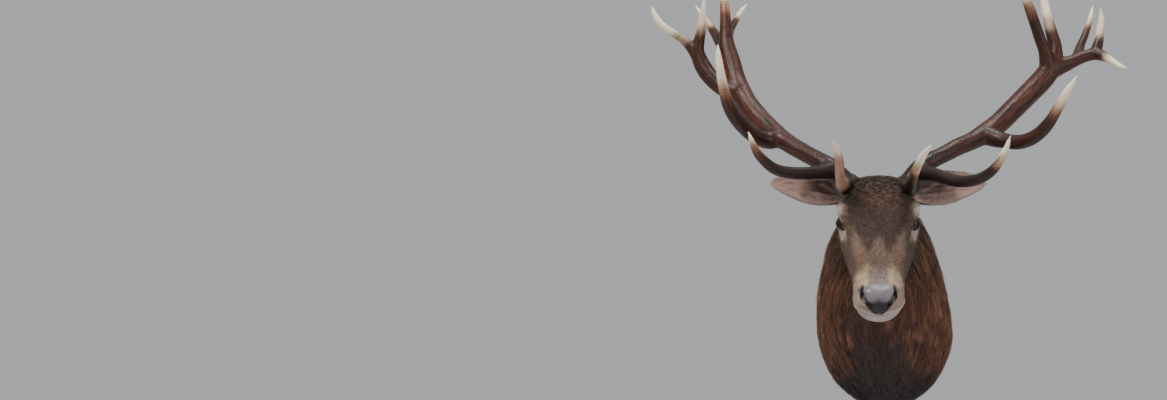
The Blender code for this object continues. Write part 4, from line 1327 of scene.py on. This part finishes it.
def walk(tree, roots, flow, length, steps, turn=None):
    """Paths over the skin along the lie of the coat, and the normals under them."""
    place, normal = nearest_on(tree, roots)
    path, ups = [place], [normal]
    turned = np.zeros(len(roots))
    for _ in range(steps):
        way = flow(place)
        way = unit(way - normal * (way * normal).sum(1, keepdims=True))
        if turn is not None:
            turned += turn / steps
            way = way * np.cos(turned)[:, None] + np.cross(normal, way) * np.sin(turned)[:, None]
        place, normal = nearest_on(tree, place + way * (length / steps)[:, None])
        path.append(place)
        ups.append(normal)
    return np.stack(path, 1), np.stack(ups, 1)


def vane_faces(count, steps):
    """Quads and triangles of the vanes: three sides, one foot and a pointed tip."""
    size = (steps - 1) * 3 + 1
    start = (np.arange(count) * size)[:, None]
    quads = []
    for l in range(0, 3 * (steps - 2), 3):
        r, m = l + 1, l + 2
        for face in ((l, l + 3, r + 3, r), (r, r + 3, m + 3, m), (m, m + 3, l + 3, l)):
            quads.append(start + np.array(face)[None])
    l, tip = 3 * (steps - 2), size - 1
    r, m = l + 1, l + 2
    triangles = [start + np.array(f)[None] for f in ((l, tip, r), (r, tip, m), (m, tip, l), (0, 1, 2))]
    return [np.concatenate(quads) if quads else np.empty((0, 4), int), np.concatenate(triangles)]


def vanes(name, lines, ups, widths, root_tints, tip_tints, places, material, thickness=0.32,
          profile=VANE_PROFILE):
    """One mesh of many hairs or tufts, each a thin closed vane with three sides and a pointed tip."""
    count, steps = lines.shape[:2]
    size = (steps - 1) * 3 + 1
    rng = np.random.default_rng(len(name) + count)
    lines = lines.copy()
    lines[..., 1] = np.minimum(lines[..., 1], LINE_BACK)
    t = np.linspace(0, 1, steps)
    ways = unit(np.gradient(lines, axis=1))
    across = unit(np.cross(ways, ups))
    raised = np.cross(across, ways)
    half = (0.5 * widths[:, None] * np.interp(t, *profile)[None])[..., None]
    rings = [lines - across * half, lines + across * half, lines + raised * half * 2 * thickness]
    points = np.concatenate([np.stack(rings, 2)[:, :-1].reshape(count, -1, 3), lines[:, -1:]], 1)
    points[..., 1] = np.minimum(points[..., 1], VANE_BACK)
    made = mesh_object(name, points.reshape(-1, 3), vane_faces(count, steps))
    mesh = made.data

    # Root to tip blend: the callers' darker roots are painted shade deep in the coat, and their lighter tips
    # are a painted highlight.
    share = np.concatenate([np.repeat(t[:-1], 3), [1.0]])
    tint = root_tints[:, None] * (1 - share)[None, :, None] + tip_tints[:, None] * share[None, :, None]
    put(mesh, "Tint", tint.reshape(-1, 3), "FLOAT_COLOR")
    run = np.linalg.norm(np.diff(lines, axis=1), axis=2).sum(1)
    corner = np.concatenate([np.tile((-1, 1, 0), steps - 1), [0]])[None]
    lie = np.zeros((count, size, 3))
    lie[..., 0] = corner * widths[:, None] * 0.5 + rng.random((count, 1)) * 9
    lie[..., 1] = rng.random((count, 1)) * 9
    lie[..., 2] = share[None] * run[:, None]
    put(mesh, "Lie", lie.reshape(-1, 3), "FLOAT_VECTOR")

    # Each vane's bake place is a small patch where its root lies on the unrolled neck or head.
    uv = np.zeros((count, size, 2))
    corner = np.concatenate([np.tile((0, 1, 0.5), steps - 1), [0.5]])[None]
    uv[..., 0] = places[:, :1] + BAKE_PATCH * corner
    uv[..., 1] = places[:, 1:] + BAKE_PATCH * share[None]
    corners = np.empty(len(mesh.loops), np.int32)
    mesh.loops.foreach_get("vertex_index", corners)
    layer = mesh.uv_layers.new(name="OFBake")
    layer.data.foreach_set("uv", uv.reshape(-1, 2)[corners].astype(np.float32).ravel())
    mesh.materials.append(material)
    return made


def neck_weight(points):
    """1 where the neck's long coat grows, 0 on the face."""
    along, height = head_frame(points)[1:]
    behind = ramp(-along, -0.055, 0.010)
    cheek = ramp(0.150 - along, -0.02, 0.05) * ramp(-height, 0.060, 0.105)
    throat = ramp(mouth_line(np.maximum(along, 0.296)) - 0.040 - height, 0, 0.022)
    throat = throat * ramp(-along, -0.30, -0.20)
    return np.clip(behind + cheek + throat, 0, 1)


def neck_flow(points):
    """The lie of the neck's coat: down and back, and towards the middle at the brisket."""
    x, z = points[:, 0] - POLL[0] * 0.5, points[:, 2]
    low, high = ramp(-z, -0.06, 0.14), ramp(z, 0.14, 0.27)
    way = 0.45 * NECK_AXIS[None] + np.array((0, 0, -1.0))[None] * (0.95 - 0.75 * high)[:, None]
    way = way + NECK_AXIS[None] * (high * 0.55)[:, None]
    way[:, 0] += np.sign(x) * 0.22 * ramp(np.abs(x), 0.0, 0.05) * (1 - low) - 4.6 * x * low
    way[:, 1] += 0.10 * ramp(-points[:, 1], 0.10, 0.30)
    return way


def face_flow(points):
    """The lie of the face's hair: back from the nose, down the cheeks, parted at the eyes."""
    side, _, height = head_frame(points)
    back = -FACE[None] * np.ones((len(points), 1))
    down = ramp(-height, 0.035, 0.090)
    way = back * (1.0 - 0.25 * down)[:, None] - UP[None] * (0.55 * down)[:, None]
    way = way + SIDE[None] * (np.sign(side) * 0.35 * ramp(np.abs(side), 0, 0.05))[:, None]
    # Round the eye the hair parts and runs along the lids.
    for eye in (-1, 1):
        away = points - eye_centre(eye)
        near = bell(np.linalg.norm(away, axis=1), 0.032)
        way = way + UP[None] * (near * 0.8 * np.sign(away @ UP))[:, None]
    return way


def flow(points):
    """The lie of the coat anywhere on the skin."""
    share = neck_weight(points)[:, None]
    return unit(face_flow(points)) * (1 - share) + unit(neck_flow(points)) * share


def unrolled(angle, run):
    """A place from 0 to 1 on a surface unrolled round its axis."""
    return np.stack([(angle / (2 * np.pi) + 0.5) * 0.99, np.clip(run, 0, 0.99)], 1)


def neck_place(points):
    """Where points lie on the unrolled neck."""
    angle = np.arctan2(points[:, 0] + 0.008, -(points[:, 2] - 0.05 + 0.75 * points[:, 1]))
    return unrolled(angle, -points[:, 1] / 0.62)


def face_place(points):
    """Where points lie on the unrolled head."""
    side, along, height = head_frame(points)
    return unrolled(np.arctan2(side, height + 0.055), (along + 0.12) / 0.58)


def toned(tints, gains):
    """Colours made lighter or darker, each by its own gain."""
    return tints * gains[:, None]


def clear_of_eyes(points, inner, outer):
    """0 nearer to an eye than inner, 1 beyond outer."""
    clear = np.ones(len(points))
    for way in (-1, 1):
        out, nose, up = eye_axes(way)
        away = points - eye_centre(way)
        flat = np.hypot((away @ nose) / 1.25, away @ up)
        clear *= np.where(away @ out > -0.01, ramp(flat, inner, outer), 1)
    return clear


def clear_of_burrs(points):
    """0 under the burrs, 1 away from them."""
    clear = np.ones(len(points))
    for middle, axis in BURRS.values():
        away, axis = points - np.array(middle), unit(np.array(axis))
        out = np.linalg.norm(away - (away @ axis)[:, None] * axis, axis=1)
        clear *= ramp(out, 0.018, 0.022)
    return clear


def coat_pieces(name, groups, path, ups, width, root_tints, tip_tints, places, material):
    """The hairs in some pieces of about equal size, sorted round the neck or head."""
    order = np.argsort(places[:, 0])
    return [vanes(f"{name}_{i + 1}", path[rows], ups[rows], width[rows], root_tints[rows], tip_tints[rows],
                  places[rows], material) for i, rows in enumerate(np.array_split(order, groups))]


def mane_density(p):
    """Thick down the neck, thin towards the face, none at the wall or under the burrs."""
    return neck_weight(p) ** 1.5 * ramp(-p[:, 1], 0.002, 0.012) * clear_of_burrs(p) + NO_HAIR


def mane_length(p):
    """Longest down the neck, shorter at the brisket and the nape."""
    brisket, nape = ramp(-p[:, 2], 0.03, 0.12), ramp(p[:, 2], 0.20, 0.30)
    return (0.016 + 0.062 * neck_weight(p)**2) * (1 - 0.45 * brisket) * (1 - 0.40 * nape)


def mane_guides(tree, guides, rng, steps):
    """A wavy, lifted path for each lock, and its length."""
    length = mane_length(guides) * rng.uniform(0.8, 1.25, len(guides))
    path, up = walk(tree, guides, flow, length, steps, rng.normal(0, 0.25, len(guides)))
    t = np.linspace(0, 1, steps + 1)
    wave = rng.uniform(0.0015, 0.0048, len(guides))
    cycles = length / rng.uniform(0.045, 0.075, len(guides))
    phase = rng.uniform(0, 6.28, len(guides))
    sway = np.sin(2 * np.pi * cycles[:, None] * t[None] + phase[:, None]) * wave[:, None] * t[None] ** 0.7
    lift = coat_depth(guides)[:, None] * np.array(GUIDE_LIFT)[None]
    lift = lift * rng.uniform(0.75, 1.15, (len(guides), 1))
    across = np.cross(unit(np.gradient(path, axis=1)), up)
    return path + across * sway[..., None] + up * lift[..., None], length


def make_mane(skin, tree, material):
    """The neck's long coat: locks that hang down and back, drawn to points."""
    count, steps = MANE_HAIRS, 4
    roots = scatter(skin.data, mane_density, count, 101)
    rng = np.random.default_rng(102)
    guides = scatter(skin.data, mane_density, count // 13, 103)
    g_path, g_length = mane_guides(tree, guides, rng, steps)
    guide_tree = point_tree(guides)
    found = [guide_tree.find(p) for p in roots]
    owner = np.array([f[1] for f in found])
    gap = np.array([f[2] for f in found])

    # Each hair follows the skin, and is drawn to its lock's path more and more towards the tip.
    length = np.minimum(mane_length(roots) * rng.uniform(0.7, 1.2, count), g_length[owner] * 1.15)
    path, ups = walk(tree, roots, flow, length, steps, rng.normal(0, 0.18, count))
    lift = coat_depth(roots)[:, None] * np.array(HAIR_LIFT)[None]
    lift = lift * (rng.uniform(0.35, 1.0, (count, 1)) * (1.1 - 0.35 * np.clip(gap / 0.008, 0, 1))[:, None])
    path = path + ups * lift[..., None]
    t = np.linspace(0, 1, steps + 1)
    pull = (0.82 * t**1.2)[None, :, None] * rng.uniform(0.55, 1.0, (count, 1, 1))
    target = g_path[owner] + (path[:, :1] - g_path[owner][:, :1]) * 0.32
    path = path * (1 - pull) + target * pull
    stray = (rng.random(count) < 0.05) * rng.uniform(0.001, 0.005, count)
    path = path + ups * (stray[:, None] * t[None] ** 2)[..., None]

    # Tones differ from lock to lock, and some locks high on the sides get a painted highlight.
    tone = np.exp(rng.normal(0, 0.32, len(guides)))[owner] * np.exp(rng.normal(0, 0.13, count))
    painted_highlight = (rng.random(len(guides)) < 0.22)[owner] * ramp(np.abs(roots[:, 0] + 0.008), 0.03, 0.08)
    painted_highlight = painted_highlight * ramp(roots[:, 2], -0.05, 0.08)
    base = mix(markings(roots), LOCK_HIGHLIGHT, painted_highlight * 0.40)
    tone = tone ** (1 - 0.5 * ramp(-roots[:, 2], 0.0, 0.10))
    width = rng.uniform(0.0012, 0.0021, count) * np.clip(length / 0.05, 0.6, 1.1) * HAIR_WIDENING
    # Painted shade darkens the roots and a painted highlight lightens the tips.
    return coat_pieces("coat_neck", 4, path, ups, width, toned(base, tone * 0.48), toned(base, tone * 1.22),
                       neck_place(roots), material)


def face_density(p):
    """Everywhere on the face but the lips, the nose, the eyes and the burrs."""
    side, along, height = head_frame(p)
    face = (1 - neck_weight(p)) * ramp(-along, -0.385, -0.368)
    pad = ramp(along, 0.350, 0.372) * ramp(0.0370 - np.abs(side), -0.004, 0.002)
    pad = pad * ramp(height, -0.070, -0.055)
    return face * (1 - pad) * clear_of_eyes(p, 0.0155, 0.0185) * clear_of_burrs(p) + NO_HAIR


def make_face_coat(skin, tree, material):
    """Short close hair over the face, longer on the cheeks and jaw."""
    count = FACE_HAIRS
    rng = np.random.default_rng(111)
    roots = scatter(skin.data, face_density, count, 112)
    along, height = head_frame(roots)[1:]
    cheek = ramp(-height, 0.045, 0.100) * ramp(-along, -0.32, -0.20)
    fore = ramp(-along, -0.20, -0.12)
    length = (0.0060 + 0.0030 * fore + 0.0070 * cheek) * rng.uniform(0.75, 1.3, count)
    length *= 1 - 0.35 * ramp(along, 0.30, 0.36)
    path, ups = walk(tree, roots, flow, length, 2, rng.normal(0, 0.30, count))
    rise = (0.0007 + 0.0009 * fore + 0.0022 * cheek) * rng.uniform(0.4, 1.25, count)
    path = path + ups * (rise[:, None] * np.array((-0.5, 0.75, 1.0))[None])[..., None]
    base = markings(roots)
    tone = np.exp(rng.normal(0, 0.13, count)) * (1 + 0.10 * waves(roots, 0.006, 113))
    width = rng.uniform(0.0007, 0.0013, count) * HAIR_WIDENING
    # Painted shade darkens the roots a little and a painted highlight lightens the tips.
    return coat_pieces("coat_face", 2, path, ups, width, toned(base, tone * 0.90), toned(base, tone * 1.12),
                       face_place(roots), material)


def forehead_density(p):
    """The top of the head, from the brow to behind the antlers."""
    along, height = head_frame(p)[1:]
    top = ramp(height, -0.050, -0.020) * ramp(-along, -0.170, -0.110) * ramp(along, -0.115, -0.080)
    return top * clear_of_eyes(p, 0.030, 0.040) * clear_of_burrs(p) + NO_HAIR


def whorl_flow(p):
    """Out from the whorl in the middle of the brow, and round it."""
    side, along = head_frame(p)[:2]
    out = SIDE[None] * (side / 0.05)[:, None] + FACE[None] * ((along - 0.085) / 0.05)[:, None]
    around = np.cross(UP[None], out)
    return unit(out + around * 0.7) + unit(flow(p)) * 0.35


def make_forehead(skin, tree, material):
    """Curly dark tufts from the brow to behind the antlers, with a rusty whorl in the middle."""
    count, steps = FOREHEAD_HAIRS, 4
    rng = np.random.default_rng(121)
    roots = scatter(skin.data, forehead_density, count, 122)
    along = head_frame(roots)[1]
    clumps = scatter(skin.data, forehead_density, count // 9, 123)
    clump_tree = point_tree(clumps)
    owner = np.array([clump_tree.find(p)[1] for p in roots])
    spin = rng.normal(0, 1.3, len(clumps))[owner]
    length = rng.uniform(0.010, 0.019, count) * (0.6 + 0.4 * ramp(-along, -0.15, -0.09))
    path, ups = walk(tree, roots, whorl_flow, length, steps, spin * 0.9 + rng.normal(0, 0.4, count))
    rise = rng.uniform(0.0018, 0.0052, count) * (0.45 + 0.55 * ramp(-along, -0.15, -0.08))
    path = path + ups * (rise[:, None] * np.array((-0.3, 0.65, 1.05, 1.10, 0.80))[None])[..., None]
    # The tips of each clump draw together.
    centre = np.array([path[owner == k][:, -1].mean(0) if (owner == k).any() else (0, 0, 0)
                       for k in range(len(clumps))])
    pull = (0.45 * np.linspace(0, 1, steps + 1) ** 2)[None, :, None]
    path = path * (1 - pull) + (path + (centre[owner] - path[:, -1])[:, None]) * pull
    base = markings(roots)
    tone = np.exp(rng.normal(0, 0.24, len(clumps)))[owner] * np.exp(rng.normal(0, 0.18, count))
    width = rng.uniform(0.0010, 0.0019, count) * 1.0
    # Painted shade darkens the roots and a painted highlight lightens the tips.
    return [vanes("coat_forehead", path, ups, width, toned(base, tone * 0.50), toned(base, tone * 1.35),
                  face_place(roots), material)]


def ear_lines(way, t0, s0, dt, ds, inner, rise):
    """Paths of hairs on an ear, from t0, s0 on over dt, ds, and the directions out of the ear."""
    across = ear_axes(way)[4]
    lines, ups = [], []
    for f in (k / 3 for k in range(4)):
        t, s = np.clip(t0 + dt * f, 0, 0.99), s0 + ds * f
        on_ear = np.clip(s, -1, 1)
        here = ear_point(way, t, on_ear, inner)
        up = unit(here - ear_point(way, t, on_ear, not inner))
        # Hairs that pass the rim go on outwards.
        over = across * (np.clip(np.abs(s) - 1, 0, 1) * np.sign(s) * 0.03)[:, None]
        lines.append(here + over + up * (rise * (-0.4 + 1.4 * math.sin(f * 1.6)))[:, None])
        ups.append(up)
    return np.stack(lines, 1), np.stack(ups, 1)


def make_ear_hair(material):
    """Short hair on the backs of the ears, a pale fringe on their rims and long pale hair inside."""
    rng = np.random.default_rng(131)
    hairs = []

    def lay(way, t0, s0, dt, ds, inner, rise, width, tint, root_tone, sheet):
        lines, ups = ear_lines(way, t0, s0, dt, ds, inner, rise)
        tone = np.exp(rng.normal(0, 0.18, len(t0)))
        place = np.stack([sheet + 0.22 * (s0 * 0.5 + 0.5), t0 * 0.95], 1)
        # Painted shade darkens the roots by root_tone and a painted highlight lightens the tips.
        hairs.append((lines, ups, width, toned(tint, tone * root_tone), toned(tint, tone * 1.12), place))

    for index, way in enumerate((-1, 1)):
        sheet = 0.5 * index
        n = int(2600 * EAR_HAIR_SHARE)
        t0, s0 = rng.uniform(0.02, 0.92, n), rng.uniform(-1, 1, n)
        lay(way, t0, s0, rng.uniform(0.035, 0.070, n), rng.normal(0, 0.05, n), False,
            rng.uniform(0.0006, 0.0016, n), rng.uniform(0.0010, 0.0017, n), ear_back(t0), 0.65, sheet)
        n = int(900 * EAR_HAIR_SHARE)
        t0, s0 = rng.uniform(0.10, 0.91, n), rng.choice((-1.0, 1.0), n) * rng.uniform(0.90, 1.0, n)
        rim = mix(RIM_HAIR, RIM_HAIR_TIP, ramp(t0, 0.88, 1.0))
        lay(way, t0, s0, rng.uniform(0.03, 0.08, n), np.sign(s0) * rng.uniform(0.02, 0.16, n), True,
            rng.uniform(0.0002, 0.0020, n), rng.uniform(0.0008, 0.0014, n), rim, 0.8, sheet + 0.24)
        n = int(520 * EAR_HAIR_SHARE)
        edge = rng.choice((-1.0, 1.0), n)
        t0, s0 = rng.uniform(0.06, 0.55, n), edge * rng.uniform(0.45, 0.98, n)
        inside = np.repeat(INNER_HAIR[None], n, 0)
        lay(way, t0, s0, rng.uniform(0.08, 0.15, n), -edge * rng.uniform(0.02, 0.24, n), True,
            rng.uniform(0.0015, 0.0065, n), rng.uniform(0.0009, 0.0015, n), inside, 0.8, sheet + 0.24)
    return [vanes("coat_ears", *(np.concatenate(column) for column in zip(*hairs)), material, 0.22)]


def lash(rng, centre, axes, angle):
    """The path of one lash on the upper lid."""
    out, nose, up = axes
    a, b = math.cos(angle) * 0.98, math.sin(angle) * 0.66
    start = unit(out * math.cos(a) * math.cos(b) + nose * math.sin(a) * math.cos(b) + up * math.sin(b))
    away = unit(start + up * 0.45 + nose * rng.normal(-0.1, 0.15))
    reach = rng.uniform(0.006, 0.010)
    droop = np.array((0, 0, -1.0))
    return [centre + start * (EYE_R + 0.0014) + away * reach * f + droop * (0.0025 * math.sin(2.2 * f)) * f
            for f in WHISKER_STEPS]


def whisker(rng, tree, way):
    """The path of one long hair on the lips or chin."""
    along = rng.uniform(0.325, 0.400)
    height = rng.uniform(-0.100, -0.036)
    place = world(way * rng.uniform(0.02, 0.045), along, height)
    at, normal = (np.array(v) for v in tree.find_nearest(Vector(place))[:2])
    bend = -FACE * 0.5 - UP * rng.uniform(0, 0.6)
    reach = rng.uniform(0.016, 0.034)
    return [at + normal * reach * f * 0.85 + bend * reach * f * f * 0.5 - normal * 0.001 * (f == 0)
            for f in WHISKER_STEPS]


def make_whiskers(tree, material):
    """Lashes on the upper lids, and a few long dark hairs on the lips and chin."""
    rng = np.random.default_rng(141)
    lines, ups, widths = [], [], []
    for way in (-1, 1):
        centre, axes = eye_centre(way), eye_axes(way)
        lashes = [lash(rng, centre, axes, angle) for angle in np.linspace(0.35, 2.75, 46)]
        whiskers = [whisker(rng, tree, way) for _ in range(34)]
        lines += lashes + whiskers
        ups += [[axes[2]] * 4] * len(lashes) + [[UP] * 4] * len(whiskers)
        widths += [LASH_WIDTH] * len(lashes) + [WHISKER_WIDTH] * len(whiskers)
    lines, ups, widths = np.array(lines), np.array(ups, float), np.array(widths)
    dark = np.repeat(WHISKER_DARK[None], len(lines), 0)
    return [vanes("whiskers", lines, ups, widths, dark, dark, face_place(lines[:, 0]), material, 0.8,
                  ((0, 0.5, 1), (1, 0.9, 0)))]


# ---------------------------------------------------------------- stage

SKY_COLOUR = (0.82, 0.83, 0.85, 1)
SKY_STRENGTH = 0.55
# Name, place, aim, size, power and colour.
LAMPS = (
    ("key", (-1.6, -2.2, 2.6), (0, -0.3, 0.25), (1.4, 1.0), 85, (1.0, 0.97, 0.93)),
    ("fill", (2.4, -2.2, 0.6), (0, -0.3, 0.15), (1.6, 1.6), 20, (0.93, 0.96, 1.0)),
    ("top", (0.3, -0.6, 2.4), (0, -0.3, 0.2), (1.2, 0.8), 30, (1.0, 1.0, 1.0)),
)
LENS = 47
CAMERA_PLACE = (-0.018, -3.45, -0.007)
CAMERA_TILT = math.radians(95)
# The photo's width and the middle of its right-hand panel, in picture points.
PHOTO_WIDTH = 1167
PANEL_MIDDLE = 876


def make_floor():
    """A plain floor, far below the head."""
    bpy.ops.mesh.primitive_plane_add(size=24, location=(0, 0, -1.05))
    floor = bpy.context.active_object
    floor.name = "floor"
    n = Nodes("floor_paint")
    n.set(Base_Color=(0.80, 0.79, 0.77), Roughness=0.8)
    floor.data.materials.append(n.material)


def make_sky():
    """An even grey light from all round."""
    sky = bpy.data.worlds.new("studio")
    bpy.context.scene.world = sky
    sky.use_nodes = True
    background = sky.node_tree.nodes["Background"].inputs
    background["Color"].default_value = SKY_COLOUR
    background["Strength"].default_value = SKY_STRENGTH


def make_lamp(name, place, aim, size, power, colour):
    """A lamp with a rectangular face, turned to its aim."""
    data = bpy.data.lights.new(name, "AREA")
    data.shape = "RECTANGLE"
    data.size, data.size_y = size
    data.energy = power
    data.color = colour
    made = bpy.data.objects.new(name, data)
    made.location = place
    made.rotation_euler = (Vector(aim) - Vector(place)).to_track_quat("-Z", "Y").to_euler()
    bpy.context.scene.collection.objects.link(made)


def make_camera():
    """The photo's view: the head is in the right-hand panel, so the camera is shifted sideways."""
    lens = bpy.data.cameras.new("camera")
    lens.lens = LENS
    lens.sensor_width = 36
    lens.shift_x = -(PANEL_MIDDLE - PHOTO_WIDTH / 2) / PHOTO_WIDTH
    camera = bpy.data.objects.new("camera", lens)
    camera.location = CAMERA_PLACE
    camera.rotation_euler = (CAMERA_TILT, 0, 0)
    bpy.context.scene.collection.objects.link(camera)
    bpy.context.scene.camera = camera


def make_stage():
    """The floor, sky, lamps and camera."""
    make_floor()
    make_sky()
    for lamp in LAMPS:
        make_lamp(*lamp)
    make_camera()


# ---------------------------------------------------------------- build

make_stage()
skin_look = hide_material()
skin = make_skin()
skin_tree = surface_tree(skin.data)
lids = make_lids(skin_tree)
ears = [make_ear(-1, "ear_skin_right"), make_ear(1, "ear_skin_left")]
# The coat grows on the skin without its lids and ears.
bare = skin.copy()
bare.data = skin.data.copy()
skin = joined("skin", [skin, *lids, *ears])
skin.data.materials.clear()
skin.data.materials.append(skin_look)

bone = antler_material()
antlers = {"right": make_antler("right", RIGHT, bone), "left": make_antler("left", LEFT, bone)}
glass = eye_material()
eyes = {"right": make_eye(-1, "glass_eye_right", glass), "left": make_eye(1, "glass_eye_left", glass)}

long_hair = coat_material("coat_long", 0.55, 1500.0)
short_hair = coat_material("coat_short", 0.62, 2200.0)
coat = [
    *make_mane(bare, skin_tree, long_hair),
    *make_face_coat(bare, skin_tree, short_hair),
    *make_forehead(bare, skin_tree, long_hair),
    *make_ear_hair(short_hair),
    *make_whiskers(skin_tree, whisker_material()),
]
bpy.data.objects.remove(bare)
for piece in coat:
    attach(piece, "root")

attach(skin, "root")
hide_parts("head", "lower_jaw", "nose_pad", "neck", "neck_base", "ear_left", "ear_right")
for name, antler in antlers.items():
    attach(antler, "root")
    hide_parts(*[f"antler_{name}_{part}" for part in (
        "burr", "beam_lower", "beam_upper", "brow", "bez", "trez", "crown_outer", "crown_side", "crown_back",
        "crown_inner")])
for name, eye in eyes.items():
    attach(eye, "root")
    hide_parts(f"eye_{name}")
board = frame["nodes"]["backboard"]
board.data.materials.clear()
board.data.materials.append(board_material())
